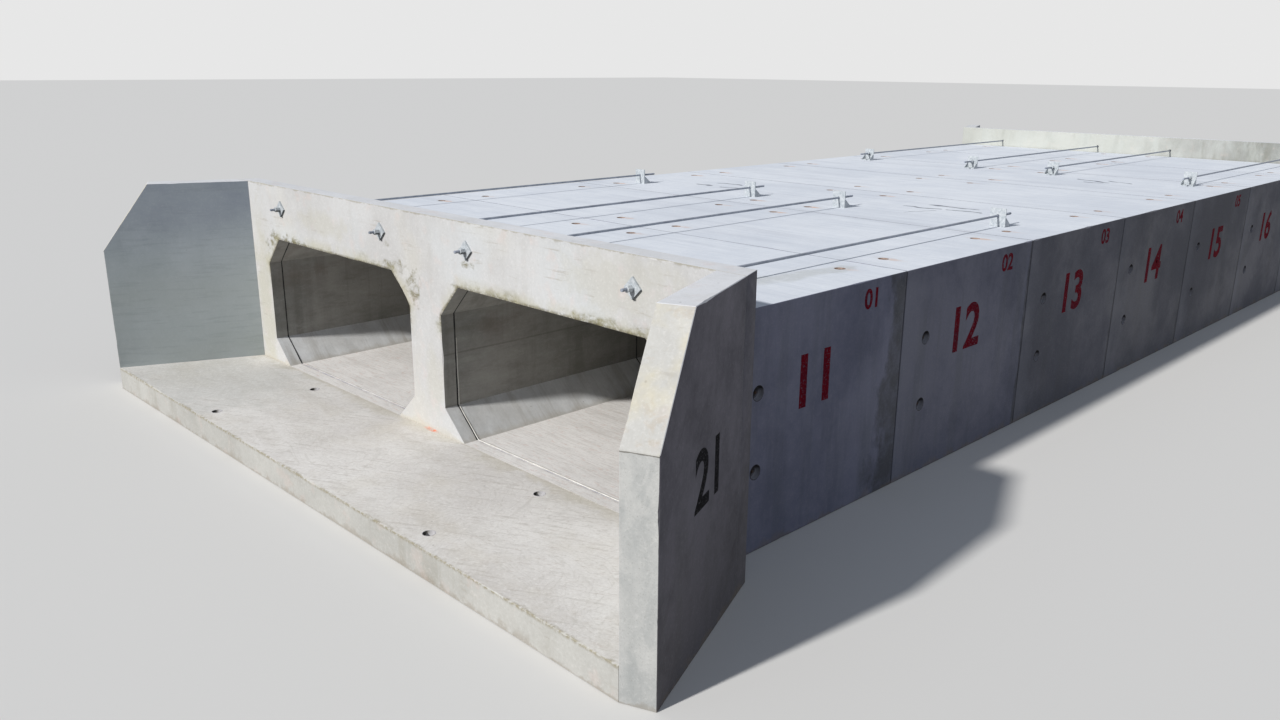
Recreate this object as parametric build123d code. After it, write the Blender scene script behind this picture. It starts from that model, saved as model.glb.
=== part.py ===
from build123d import *
import os
from math import cos, radians, sin, tan

# Twin-cell box culvert of precast concrete, in millimetres.
# X runs across the culvert, Y runs along the two cells from inlet to outlet,
# and Z is up. The origin is at the middle of the culvert, on its underside.

# Cells
cell_span = 3000
cell_rise = 1500
top_haunch_width = 300
top_haunch_height = 310
bottom_haunch_width = 300
bottom_haunch_height = 280

# Slabs and walls of a box unit
middle_wall = 530
outer_wall = 280
roof_slab = 240
floor_slab = 250

# Box units and the tongue and groove joint between them
unit_count = 7
unit_length = 2390
joint_gap = 10
tongue_length = 80
groove_lip = 120
groove_clearance = 10
gasket_inset = 10

# Lifting pockets
side_pocket_diameter = 120
roof_pocket_diameter = 95
apron_pocket_diameter = 100
pocket_depth = 50
side_pocket_setback = 400
side_pocket_low = 430
side_pocket_high = 1070
roof_pocket_end_distance = 340
roof_pocket_inner_x = 440
roof_pocket_outer_x = 3080

# End structure
headwall_thickness = 220
parapet_height = 370
wing_gap = 95
wing_angle = 22.5
wing_length = 1600
wing_thickness = 250
wing_flat_top = 1070
wing_end_height = 1380
edge_chamfer = 4
apron_pocket_x = 1950
apron_pocket_front = 180
apron_pocket_back = 220

# Tie rods over the roof
rod_diameter = 25
rod_height = 120
rod_inner_x = 720
rod_outer_x = 2840
rod_hole_clearance = 3
wall_sleeve_diameter = 45
rod_tip = 50
rod_tail = 230

# Rod nuts and bearing plates
nut_width = 48
nut_height = 55
nut_clearance = 0.5
plate_side = 126
plate_thickness = 20

# Roof brackets and their anchor bolts, on the third unit from each end
bracket_unit = 3
inlet_bracket_offset = 595
outlet_bracket_offset = 500
bracket_width = 185
bracket_height = 205
bracket_length = 120
bracket_plate = 12
gusset_height = 100
gusset_thickness = 10
anchor_diameter = 20
anchor_depth = 110
anchor_clearance = 0.5
anchor_head_width = 30
anchor_head_height = 13
anchor_spread = 45
anchor_setback = 55

# Sides of the outline that stands for a small round hole or shank
hole_sides = 12

# Sizes that follow from the ones above
unit_width = 2 * (cell_span + outer_wall) + middle_wall
unit_height = floor_slab + cell_rise + roof_slab
cell_centre = (middle_wall + cell_span) / 2
cell_top = floor_slab + cell_rise
unit_pitch = unit_length + joint_gap
barrel_length = unit_count * unit_pitch - joint_gap
inlet_face = -barrel_length / 2 - joint_gap - headwall_thickness
bracket_unit_reach = headwall_thickness + joint_gap + (bracket_unit - 1) * unit_pitch
inlet_bracket_reach = bracket_unit_reach + inlet_bracket_offset
outlet_bracket_reach = bracket_unit_reach + outlet_bracket_offset
headwall_top = unit_height + parapet_height
apron_depth = wing_length * cos(radians(wing_angle))
wing_foot_x = unit_width / 2 + wing_gap
rod_z = unit_height + rod_height
rod_places = (-rod_outer_x, -rod_inner_x, rod_inner_x, rod_outer_x)
anchor_bore = anchor_diameter + 2 * anchor_clearance


def along_y(outline, start, length):
    """Stand an outline drawn in X and Z upright at y = start and push it towards +Y."""
    return Pos(0, start, 0) * extrude(Plane.XZ * outline, amount=length, dir=(0, 1, 0))


def upright(outline, bottom, height):
    """Raise a plan outline drawn in X and Y from z = bottom."""
    return Pos(0, 0, bottom) * extrude(outline, amount=height)


def polygon(*corners):
    """A flat face through the given corners."""
    return make_face(Polyline(*corners, close=True))


def around(diameter):
    """The outline of a small hole or shank: a few flat sides around a circle."""
    return RegularPolygon(diameter / 2, hole_sides, major_radius=False)


# Outlines across the culvert
def cell_outline(grow=0):
    """One cell with its four haunches, centred on its own middle line."""
    half = cell_span / 2
    top = cell_top
    cell = polygon(
        (-half + bottom_haunch_width, floor_slab),
        (half - bottom_haunch_width, floor_slab),
        (half, floor_slab + bottom_haunch_height),
        (half, top - top_haunch_height),
        (half - top_haunch_width, top),
        (-half + top_haunch_width, top),
        (-half, top - top_haunch_height),
        (-half, floor_slab + bottom_haunch_height),
    )
    return offset(cell, amount=grow, kind=Kind.INTERSECTION) if grow else cell


def both_cells(grow=0):
    """The two cells side by side."""
    cell = cell_outline(grow)
    return Sketch() + [Pos(side * cell_centre, 0) * cell for side in (-1, 1)]


def box_outline(inset=0):
    """The outside of a box unit, brought in by an even inset."""
    outline = Rectangle(unit_width - 2 * inset, unit_height - 2 * inset)
    return Pos(0, unit_height / 2) * outline


def tongue_ring():
    """The tongue at the inlet end of a unit, seen along the culvert."""
    return box_outline(groove_lip) - both_cells()


def groove_cut(end_y):
    """The recess that takes the next unit's tongue, measured back from an end face."""
    mouth = box_outline(groove_lip - groove_clearance)
    return along_y(mouth, end_y - tongue_length, tongue_length)


# Box units
def side_pockets(start):
    """The two lifting pockets on each side of a unit, one above the other."""
    y = start + side_pocket_setback
    drill = extrude(Plane.YZ * around(side_pocket_diameter), amount=pocket_depth, both=True)
    levels = (floor_slab + side_pocket_low, floor_slab + side_pocket_high)
    return [Pos(side * unit_width / 2, y, z) * drill for side in (-1, 1) for z in levels]


def roof_pockets(start):
    """Two rows of four lifting pockets in the top of a unit."""
    drill = extrude(around(roof_pocket_diameter), amount=pocket_depth, both=True)
    rows = (start + roof_pocket_end_distance, start + unit_length - roof_pocket_end_distance)
    columns = [side * x for side in (-1, 1) for x in (roof_pocket_inner_x, roof_pocket_outer_x)]
    return [Pos(x, y, unit_height) * drill for x in columns for y in rows]


def anchor_holes(reach, facing):
    """The holes that a row of roof brackets needs for its anchor bolts."""
    drill = extrude(around(anchor_bore), amount=anchor_depth, both=True)
    places = [place for x in rod_places for place in anchor_places(x, reach)]
    return [Pos(facing * x, facing * y, unit_height) * drill for x, y in places]


def box_unit(number):
    """One precast unit, with its tongue at the inlet end and its groove at the other."""
    start = -barrel_length / 2 + (number - 1) * unit_pitch
    unit = along_y(box_outline() - both_cells(), start, unit_length)
    unit += along_y(tongue_ring(), start - tongue_length, tongue_length)
    unit -= groove_cut(start + unit_length)
    unit -= side_pockets(start) + roof_pockets(start)
    if number == bracket_unit:
        unit -= anchor_holes(inlet_bracket_reach, 1)
    if number == unit_count + 1 - bracket_unit:
        unit -= anchor_holes(outlet_bracket_reach, -1)
    return unit


def joint_gasket(number):
    """The flat seal between a tongue and the bottom of its groove."""
    tip = -barrel_length / 2 + (number - 1) * unit_pitch - tongue_length
    seal = box_outline(groove_lip + gasket_inset) - both_cells(gasket_inset)
    return along_y(seal, tip - joint_gap, joint_gap)


# End structure, drawn at the inlet with its front face at y = inlet_face
def wing_corner(along, across):
    """A plan point on the right wing, measured along it and outwards from its inner face."""
    turn = radians(wing_angle)
    x = wing_foot_x + along * sin(turn) + across * cos(turn)
    y = inlet_face - along * cos(turn) + across * sin(turn)
    return x, y


def outer_face_x(y):
    """Where the outer face of the right wing, carried on inwards, crosses a given y."""
    turn = radians(wing_angle)
    return wing_foot_x + wing_thickness / cos(turn) - (y - inlet_face) * tan(turn)


def headwall(tongue):
    """The end frame around both cells, with the parapet on top."""
    back = inlet_face + headwall_thickness
    front_x = outer_face_x(inlet_face)
    back_x = outer_face_x(back)
    plan = polygon((-front_x, inlet_face), (front_x, inlet_face), (back_x, back), (-back_x, back))
    wall = upright(plan, 0, headwall_top)
    top_edges = wall.edges().group_by(Axis.Z)[-1].filter_by(Axis.X)
    wall = chamfer(top_edges, edge_chamfer)
    wall -= along_y(both_cells(), inlet_face, headwall_thickness)
    if tongue:
        wall += along_y(tongue_ring(), back, tongue_length)
    else:
        wall -= groove_cut(back)
    sleeve = along_y(Pos(0, rod_z) * around(wall_sleeve_diameter), inlet_face, headwall_thickness)
    return wall - [Pos(x, 0, 0) * sleeve for x in rod_places]


def wing(side):
    """A splayed wing wall with a sloping shoulder, on the right for side 1."""
    foot_out = (outer_face_x(inlet_face), inlet_face)
    plan = polygon(
        (wing_foot_x, inlet_face),
        wing_corner(wing_length, 0),
        wing_corner(wing_length, wing_thickness),
        foot_out,
    )
    wall = upright(plan, 0, headwall_top)
    end_top = floor_slab + wing_end_height
    past = wing_length + wing_thickness
    slope = (headwall_top - end_top) / (wing_length - wing_flat_top)
    shoulder = polygon(
        (wing_flat_top, headwall_top),
        (past, headwall_top),
        (past, headwall_top - slope * (past - wing_flat_top)),
    )
    heading = (sin(radians(wing_angle)), -cos(radians(wing_angle)), 0)
    inwards = (-cos(radians(wing_angle)), -sin(radians(wing_angle)), 0)
    wing_plane = Plane(origin=(wing_foot_x, inlet_face, 0), x_dir=heading, z_dir=inwards)
    wall -= extrude(wing_plane * shoulder, amount=wing_thickness + 1, both=True)
    free = [edge for edge in wall.edges() if edge.center().Y < inlet_face - 1 and is_free(edge)]
    wall = chamfer(free, edge_chamfer)
    return wall if side > 0 else mirror(wall, about=Plane.YZ)


def is_free(edge):
    """True for the wing's edges above the apron that no other piece touches."""
    low, high = edge.bounding_box().min.Z, edge.bounding_box().max.Z
    level_foot = high < floor_slab
    return not level_foot and (high - low > 1 or low > floor_slab)


def apron():
    """The floor slab between the wings, with four lifting pockets."""
    tip_x, tip_y = wing_corner(wing_length, 0)
    plan = polygon(
        (-wing_foot_x, inlet_face),
        (-tip_x, tip_y),
        (tip_x, tip_y),
        (wing_foot_x, inlet_face),
    )
    slab = upright(plan, 0, floor_slab)
    nose = slab.edges().group_by(Axis.Y)[0].group_by(Axis.Z)[-1]
    slab = chamfer(nose, edge_chamfer)
    drill = Cylinder(apron_pocket_diameter / 2, 2 * pocket_depth)
    rows = (inlet_face - apron_depth + apron_pocket_front, inlet_face - apron_pocket_back)
    places = [(side * apron_pocket_x, y) for side in (-1, 1) for y in rows]
    return slab - [Pos(x, y, floor_slab) * drill for x, y in places]


# Tie rods, nuts and plates, drawn at the inlet
def bracket_face(reach):
    """The y of the bracket face that looks at the headwall."""
    return inlet_face + reach


def tie_rod(x, reach):
    """A straight threaded bar from outside the headwall to behind its bracket."""
    start = inlet_face - plate_thickness - nut_height - rod_tip
    end = bracket_face(reach) + bracket_plate + nut_height + rod_tail
    return along_y(Pos(x, rod_z) * Circle(rod_diameter / 2), start, end - start)


def bearing_plate(x):
    """A square plate turned on its corner, flat against the headwall."""
    square = Pos(x, rod_z) * Rot(0, 0, 45) * Rectangle(plate_side, plate_side)
    hole = Pos(x, rod_z) * around(rod_diameter + 2 * rod_hole_clearance)
    return along_y(square - hole, inlet_face - plate_thickness, plate_thickness)


def rod_nut(x, start):
    """A hexagon nut on a tie rod."""
    hexagon = Pos(x, rod_z) * RegularPolygon(nut_width / 2, 6, major_radius=False)
    bore = Pos(x, rod_z) * around(rod_diameter + 2 * nut_clearance)
    return along_y(hexagon - bore, start, nut_height)


def rod_nuts(reach):
    """A nut outside each bearing plate and one behind each bracket."""
    outside = inlet_face - plate_thickness - nut_height
    behind = bracket_face(reach) + bracket_plate
    return [rod_nut(x, y) for x in rod_places for y in (outside, behind)]


# Roof brackets, drawn at the inlet
def roof_bracket(x, reach):
    """A welded angle: foot plate, upright plate and two side gussets."""
    face = bracket_face(reach)
    upright_plate = Pos(x, unit_height + bracket_height / 2) * Rectangle(bracket_width, bracket_height)
    hole = Pos(x, rod_z) * around(rod_diameter + 2 * rod_hole_clearance)
    bracket = along_y(upright_plate - hole, face, bracket_plate)
    middle_y = face + bracket_length / 2
    foot = Pos(x, middle_y) * Rectangle(bracket_width, bracket_length)
    foot -= [Pos(*place) * around(anchor_bore) for place in anchor_places(x, reach)]
    bracket += upright(foot, unit_height, bracket_plate)
    web = polygon(
        (face, unit_height),
        (face + bracket_length, unit_height),
        (face + bracket_length, unit_height + 2 * bracket_plate),
        (face + 2 * bracket_plate, unit_height + gusset_height),
        (face, unit_height + gusset_height),
    )
    for side in (-1, 1):
        outer = x + side * bracket_width / 2
        gusset = extrude(Plane.YZ * web, amount=gusset_thickness)
        bracket += Pos(min(outer, outer - side * gusset_thickness), 0, 0) * gusset
    return bracket


def anchor_places(x, reach):
    """The two anchor bolts in the foot of the bracket at x, side by side between its gussets."""
    y = bracket_face(reach) + bracket_plate + anchor_setback
    return [(x - anchor_spread, y), (x + anchor_spread, y)]


def anchor_bolt(x, y):
    """A hexagon-headed bolt through the bracket's foot into the roof slab."""
    seat = unit_height + bracket_plate
    shank_length = anchor_depth + bracket_plate
    shank = upright(Pos(x, y) * around(anchor_diameter), unit_height - anchor_depth, shank_length)
    head = Pos(x, y) * RegularPolygon(anchor_head_width / 2, 6, major_radius=False)
    return shank + upright(head, seat, anchor_head_height)


def anchor_bolts(reach):
    """All the bolts of one row of brackets."""
    return [anchor_bolt(*place) for x in rod_places for place in anchor_places(x, reach)]


# Turning the inlet's pieces round to the outlet
def at_outlet(piece):
    """The same piece at the far end, turned half round."""
    return Rot(0, 0, 180) * piece


def end_pieces(end, reach, place):
    """Every piece of one end structure, by name."""
    pieces = {
        end + "_headwall": place(headwall(tongue=end == "outlet")),
        end + "_wing_right": place(wing(1)),
        end + "_wing_left": place(wing(-1)),
        end + "_apron": place(apron()),
        end + "_rod_nuts": place(Compound(children=rod_nuts(reach))),
        end + "_anchor_bolts": place(Compound(children=anchor_bolts(reach))),
    }
    for number, x in enumerate(rod_places, start=1):
        pieces[f"{end}_tie_rod_{number}"] = place(tie_rod(x, reach))
        pieces[f"{end}_bearing_plate_{number}"] = place(bearing_plate(x))
        pieces[f"{end}_roof_bracket_{number}"] = place(roof_bracket(x, reach))
    return pieces


nodes = {f"box_unit_{number}": box_unit(number) for number in range(1, unit_count + 1)}
seals = [joint_gasket(number) for number in range(1, unit_count + 2)]
nodes["joint_gaskets"] = Compound(children=seals)
nodes.update(end_pieces("inlet", inlet_bracket_reach, lambda piece: piece))
nodes.update(end_pieces("outlet", outlet_bracket_reach, at_outlet))

os.makedirs("parts", exist_ok=True)
for name, shape in nodes.items():
    export_step(shape, f"parts/{name}.step")
    print(name, round(shape.volume / 1e9, 4), "cubic metres")
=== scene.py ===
# %% [markdown]
# A twin-cell box culvert, dressed
#
# The object is a row of seven precast concrete box units between two end structures. The frame
# already holds every piece at its real size, so this file never moves one. It gives the pieces
# worn arrises, cast and trowelled finishes, lined pockets, seals, threads, nuts and painted
# numbers. Everything is in metres: X across the culvert, Y along the cells, Z up.

# %% Load the frame
from math import cos, pi, radians, sin, tan

import bmesh
import bpy
from mathutils import Matrix, Vector, noise


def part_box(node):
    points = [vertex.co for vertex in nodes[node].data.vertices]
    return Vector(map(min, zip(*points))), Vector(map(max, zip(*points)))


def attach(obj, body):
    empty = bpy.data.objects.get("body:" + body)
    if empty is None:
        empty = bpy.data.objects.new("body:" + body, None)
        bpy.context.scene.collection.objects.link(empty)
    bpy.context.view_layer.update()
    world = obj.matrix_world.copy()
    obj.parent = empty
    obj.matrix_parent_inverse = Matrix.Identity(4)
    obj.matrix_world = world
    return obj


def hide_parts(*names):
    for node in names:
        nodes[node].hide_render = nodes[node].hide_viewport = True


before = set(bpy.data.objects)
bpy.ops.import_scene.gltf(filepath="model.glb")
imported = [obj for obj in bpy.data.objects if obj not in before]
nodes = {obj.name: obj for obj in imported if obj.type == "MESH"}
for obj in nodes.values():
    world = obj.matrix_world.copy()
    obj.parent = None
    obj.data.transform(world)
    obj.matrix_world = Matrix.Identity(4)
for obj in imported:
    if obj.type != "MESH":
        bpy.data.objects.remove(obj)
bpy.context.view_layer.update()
print("nodes in the frame:", len(nodes))

# %% [markdown]
# Sizes come first, because finishes and pieces share them. Whatever the frame can tell is read from
# it. The few sizes inside a casting, such as a haunch, are written once here, in metres.

# %% Sizes of the culvert
UNITS = 7
RODS = (1, 2, 3, 4)
OUTWARD = {"inlet": -1, "outlet": 1}
SIDES = {"right": 1, "left": -1}
tongue = 0.08
joint_gap = 0.01
cell_span = 3.0
cell_rise = 1.5
middle_wall = 0.53
top_haunch = (0.30, 0.31)
bottom_haunch = (0.30, 0.28)

wall_low, wall_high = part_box("inlet_headwall")
unit_low, unit_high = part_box("box_unit_1")
apron_low, apron_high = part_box("inlet_apron")
inlet_face = wall_low.y
parapet_top = wall_high.z
roof_z = unit_high.z
side_x = unit_high.x
invert = apron_high.z
cell_top = invert + cell_rise
cell_centre = (middle_wall + cell_span) / 2
first_start = unit_low.y + tongue
unit_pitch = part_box("box_unit_2")[0].y - unit_low.y
unit_length = unit_pitch - joint_gap
unit_starts = [first_start + k * unit_pitch for k in range(UNITS)]
print("unit pitch", round(unit_pitch, 3), "roof", round(roof_z, 3), "side", round(side_x, 3))

# %% [markdown]
# The camera stands in front of the inlet, off its right corner, a little above the parapet. Turn,
# tilt and roll give three directions, and those are the columns of the camera's matrix. Written
# this way the view can be checked with plain arithmetic.

# %% Camera
PICTURE_WIDTH = 1280
focal_pixels = 1016.9
sensor_width = 36.0
eye = Vector((8.118, -13.742, 3.691))
turn = -0.7940
tilt = 0.2825
roll = -0.0073


def add_object(name, data):
    """An object in the scene that shows some data."""
    made = bpy.data.objects.new(name, data)
    bpy.context.scene.collection.objects.link(made)
    return made


ahead = Vector((sin(turn) * cos(tilt), cos(turn) * cos(tilt), -sin(tilt)))
level = Vector((cos(turn), -sin(turn), 0))
down = ahead.cross(level)
right = level * cos(roll) + down * sin(roll)
below = down * cos(roll) - level * sin(roll)
camera = add_object("camera", bpy.data.cameras.new("camera"))
camera.data.sensor_width = sensor_width
camera.data.lens = focal_pixels / PICTURE_WIDTH * sensor_width
camera.data.clip_end = 1000
facing = Matrix((right, -below, -ahead)).transposed()
camera.matrix_world = Matrix.Translation(eye) @ facing.to_4x4()
bpy.context.scene.camera = camera
print("lens", round(camera.data.lens, 2), "mm")

# %% [markdown]
# A node tree is easier to read as short lines of arithmetic than as a picture of boxes. This helper
# lays nodes in a tree and joins them. Each method adds one node, or a few that belong together,
# and gives back a socket that the next line can use.

# %% Helper for node trees
class Bench:
    """Lays nodes in one tree and joins them."""

    def __init__(self, tree):
        self.tree = tree

    def feed(self, socket, value):
        """Join a socket to another, or set its value."""
        if isinstance(value, bpy.types.NodeSocket):
            self.tree.links.new(value, socket)
        else:
            socket.default_value = value

    def node(self, kind, plugs=None, **settings):
        """Lay a node with its settings and what is plugged into it, and give back its outputs."""
        made = self.tree.nodes.new(kind)
        for name, value in settings.items():
            setattr(made, name, value)
        for label, value in (plugs or {}).items():
            self.feed(made.inputs[label], value)
        return made.outputs

    def math(self, operation, *values):
        return self.node("ShaderNodeMath", dict(enumerate(values)), operation=operation)[0]

    def times(self, first, second):
        return self.math("MULTIPLY", first, second)

    def minus(self, first, second):
        return self.math("SUBTRACT", first, second)

    def size(self, value):
        return self.math("ABSOLUTE", value)

    def vector(self, operation, *values):
        return self.node("ShaderNodeVectorMath", dict(enumerate(values)), operation=operation)[0]

    def measure(self, operation, *values):
        """A vector operation that gives a number, such as a length."""
        return self.node("ShaderNodeVectorMath", dict(enumerate(values)), operation=operation)["Value"]

    def split(self, vector):
        return self.node("ShaderNodeSeparateXYZ", {"Vector": vector})

    def join(self, x, y, z):
        return self.node("ShaderNodeCombineXYZ", {"X": x, "Y": y, "Z": z})[0]

    def noise(self, place, scale, detail=3.0, roughness=0.5, bend=0.0):
        plugs = {"Vector": place, "Scale": scale, "Detail": detail}
        plugs.update({"Roughness": roughness, "Distortion": bend})
        return self.node("ShaderNodeTexNoise", plugs)[0]

    def shake(self, place, scale, reach):
        """A random shift along each axis, by up to about half of the reach."""
        colour = self.node("ShaderNodeTexNoise", {"Vector": place, "Scale": scale})["Color"]
        return self.vector("MULTIPLY", self.vector("SUBTRACT", colour, (0.5, 0.5, 0.5)), reach)

    def fade(self, value, low, high, start=0.0, end=1.0):
        """Go smoothly from start, where the value is low, to end, where it is high."""
        plugs = {"Value": value, "From Min": low, "From Max": high, "To Min": start, "To Max": end}
        return self.node("ShaderNodeMapRange", plugs, interpolation_type="SMOOTHSTEP")[0]

    def mix(self, share, first, second):
        return self.node("ShaderNodeMix", {0: share, 6: first, 7: second}, data_type="RGBA")[2]

    def by_sight(self, unseen, seen):
        """One shader for what is seen directly, and another for the light that it sends elsewhere."""
        rays = self.node("ShaderNodeLightPath")
        shown = self.math("MAXIMUM", rays["Is Camera Ray"], rays["Is Glossy Ray"])
        shown = self.math("MAXIMUM", shown, rays["Is Transmission Ray"])
        return self.node("ShaderNodeMixShader", {0: shown, 1: unseen, 2: seen})[0]


# %% [markdown]
# A node group is an effect with named sockets, built once and used in many materials. Here a group is
# written as a function of its inputs that returns its outputs. The line above the function names
# the sockets and turns it into the group, so the tree is built only once, when it is defined.

# %% Node groups
VALUE = "NodeSocketFloat"
WHOLE = "NodeSocketInt"
VECTOR = "NodeSocketVector"
SHAPE = "NodeSocketGeometry"
OBJECT = "NodeSocketObject"
MATERIAL = "NodeSocketMaterial"
GEOMETRY = "GeometryNodeTree"


def group(name, takes, gives, kind="ShaderNodeTree"):
    """Turn the function below this line into a node group with named sockets."""
    tree = bpy.data.node_groups.new(name, kind)
    for label, socket_kind in takes.items():
        tree.interface.new_socket(name=label, in_out="INPUT", socket_type=socket_kind)
    for label, socket_kind in gives.items():
        tree.interface.new_socket(name=label, in_out="OUTPUT", socket_type=socket_kind)
    inputs = tree.nodes.new("NodeGroupInput").outputs
    outputs = tree.nodes.new("NodeGroupOutput").inputs

    def build(fill):
        bench = Bench(tree)
        results = fill(bench, *[inputs[label] for label in takes])
        for label, result in zip(gives, results):
            bench.feed(outputs[label], result)
        print("group", name, "with", len(tree.nodes), "nodes")
        return tree

    return build


# %% [markdown]
# A finish starts as an even colour, and things happen to it: a stain, a scuff, rust. So a material
# has a bench of its own, which knows the place on the piece and the colour laid so far. Object
# coordinates are used everywhere, because they are metres on the real thing and never stretch.

# %% Helper for finishes
def paint(red, green, blue):
    """A colour as a screen shows it, 0 to 255, turned into the light values that a shader needs."""
    def light(part):
        share = part / 255
        return share / 12.92 if share <= 0.04045 else ((share + 0.055) / 1.055) ** 2.4

    return (light(red), light(green), light(blue), 1.0)


class Finish(Bench):
    """A new material, with the place on the piece and the colour laid so far."""

    def __init__(self, name):
        self.material = bpy.data.materials.new(name)
        self.material.use_nodes = True
        super().__init__(self.material.node_tree)
        self.tree.nodes.clear()
        coordinates = self.node("ShaderNodeTexCoord")
        self.place = coordinates["Object"]
        self.normal = coordinates["Normal"]
        self.x, self.y, self.z = self.split(self.place)
        self.colour = None

    def start(self, share, first, second):
        """Begin with two tones, mixed by a share."""
        self.colour = self.mix(share, paint(*first), paint(*second))

    def lay(self, share, strength, over):
        """Lay one more colour over the rest by a share."""
        self.colour = self.mix(self.times(share, strength), self.colour, paint(*over))

    def grain(self, scale, detail=3.0, roughness=0.5, bend=0.0, stretch=None):
        """Noise on the piece, drawn out where a stretch is given."""
        place = self.vector("MULTIPLY", self.place, stretch) if stretch else self.place
        return self.noise(place, scale, detail, roughness, bend)

    def turned(self, axis, angle, stretch):
        """The place, turned about an axis and then stretched."""
        spun = self.node("ShaderNodeVectorRotate", {"Vector": self.place, "Axis": axis, "Angle": angle})[0]
        return self.vector("MULTIPLY", spun, stretch)

    def effect(self, tree, **plugs):
        """Place a group in the material, with its own numbers, and give back its outputs."""
        return self.node("ShaderNodeGroup", {"Place": self.place, **plugs}, node_tree=tree)

    def relief(self, height, strength, distance):
        plugs = {"Strength": strength, "Distance": distance, "Height": height}
        return self.node("ShaderNodeBump", plugs)[0]

    def close(self, rough, plugs):
        """End in one shader, and give back the material."""
        plugs = {"Base Color": self.colour, "Roughness": rough, **plugs}
        shader = self.node("ShaderNodeBsdfPrincipled", plugs)[0]
        self.node("ShaderNodeOutputMaterial", {"Surface": shader})
        return self.material


print("a mid grey as light:", round(paint(128, 128, 128)[0], 3))

# %% [markdown]
# The light is a plain studio one: a soft sun from in front of the inlet, and a pale surround that
# fills the shade. The floor looks pale to the camera and in reflections, but sends little light
# back up, so that the long side keeps the deep even shade that it has in daylight.

# %% Light
toward_sun = Vector((-0.10, -0.82, 0.56))
sun_strength = 4.0
sun_softness = radians(3)
sun_colour = (1.0, 0.985, 0.96)
fill_colour = (0.80, 0.90, 1.08, 1.0)
fill_strength = 0.30
backdrop = (0.80, 0.80, 0.80, 1.0)

sun = add_object("sun", bpy.data.lights.new("sun", "SUN"))
sun.data.energy = sun_strength
sun.data.angle = sun_softness
sun.data.color = sun_colour
sun.rotation_euler = toward_sun.to_track_quat("Z", "Y").to_euler()

world = bpy.data.worlds.new("surround")
world.use_nodes = True
world.node_tree.nodes.clear()
bpy.context.scene.world = world
sky = Bench(world.node_tree)
fill = sky.node("ShaderNodeBackground", {"Color": fill_colour, "Strength": fill_strength})[0]
surround = sky.node("ShaderNodeBackground", {"Color": backdrop, "Strength": 1.0})[0]
sky.node("ShaderNodeOutputWorld", {"Surface": sky.by_sight(fill, surround)})
bpy.context.scene.view_settings.view_transform = "Standard"
print("sun strength", sun_strength, "fill", fill_strength)

# %% [markdown]
# The floor is one large square just under the culvert. It is part of the stage, not of the object.

# %% Floor
floor_reach = 220.0
floor_drop = 0.002
floor_shown = (0.66, 0.65, 0.63, 1.0)
floor_bounce = (0.16, 0.15, 0.14, 1.0)

floor_mesh = bpy.data.meshes.new("studio_floor")
corners = [(x * floor_reach, y * floor_reach, -floor_drop) for x, y in ((-1, -1), (1, -1), (1, 1), (-1, 1))]
floor_mesh.from_pydata(corners, [], [(0, 1, 2, 3)])
studio_floor = add_object("studio_floor", floor_mesh)
matte = Finish("studio_floor")
shades = [matte.node("ShaderNodeBsdfDiffuse", {"Color": tone})[0] for tone in (floor_bounce, floor_shown)]
matte.node("ShaderNodeOutputMaterial", {"Surface": matte.by_sight(*shades)})
floor_mesh.materials.append(matte.material)
print("floor", 2 * floor_reach, "m wide")

# %% [markdown]
# Concrete is never one colour. Cement and moisture make soft clouds, water runs down it in streaks,
# and trapped air leaves bug holes. Each effect is a group, built once and placed in every
# concrete finish with its own numbers.

# %% Shared effects of concrete
@group("Clouds", {"Place": VECTOR, "Scale": VALUE, "Seed": VALUE}, {"Tone": VALUE})
def clouds(bench, place, scale, seed):
    moved = bench.vector("ADD", place, seed)
    broad = bench.noise(moved, scale, 4.0, 0.55, 0.3)
    middle = bench.noise(moved, bench.times(scale, 4.7), 4.0, 0.6)
    fine = bench.noise(moved, bench.times(scale, 23.0), 3.0, 0.6)
    tone = bench.math("MULTIPLY_ADD", broad, 0.55, bench.times(middle, 0.3))
    tone = bench.math("MULTIPLY_ADD", fine, 0.15, tone)
    return [bench.fade(tone, 0.36, 0.64)]


@group("Streaks", {"Place": VECTOR, "Stretch": VECTOR, "Seed": VALUE}, {"Streak": VALUE})
def streaks(bench, place, stretch, seed):
    moved = bench.vector("ADD", place, seed)
    drawn = bench.noise(bench.vector("MULTIPLY", moved, stretch), 1.0, 4.0, 0.62)
    broken = bench.noise(moved, 0.9, 2.0, 0.5)
    return [bench.times(bench.fade(drawn, 0.47, 0.66), bench.fade(broken, 0.3, 0.62))]


@group("Bug holes", {"Place": VECTOR, "Density": VALUE, "Share": VALUE}, {"Hole": VALUE})
def holes(bench, place, density, share):
    cells = bench.node("ShaderNodeTexVoronoi", {"Vector": place, "Scale": density})
    draw = bench.node("ShaderNodeSeparateColor", {"Color": cells["Color"]})
    chosen = bench.math("LESS_THAN", draw[0], share)
    size = bench.math("MULTIPLY_ADD", draw[1], 0.13, 0.03)
    dent = bench.fade(cells["Distance"], size, bench.times(size, 0.5))
    return [bench.times(dent, chosen)]


# %% [markdown]
# Some marks belong to a place. Dirty water leaves a stain around the top of each opening, joints
# stay damp, and no two units cure to the same tone. One group measures how far a point lies outside
# the outline of the nearer cell, as the largest of its distances to the cell's sides. Another tells
# how far it is from the joints, and gives each unit its own luck.

# %% Effects that know the culvert
LUCK_DRAW = 4.37


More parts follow.
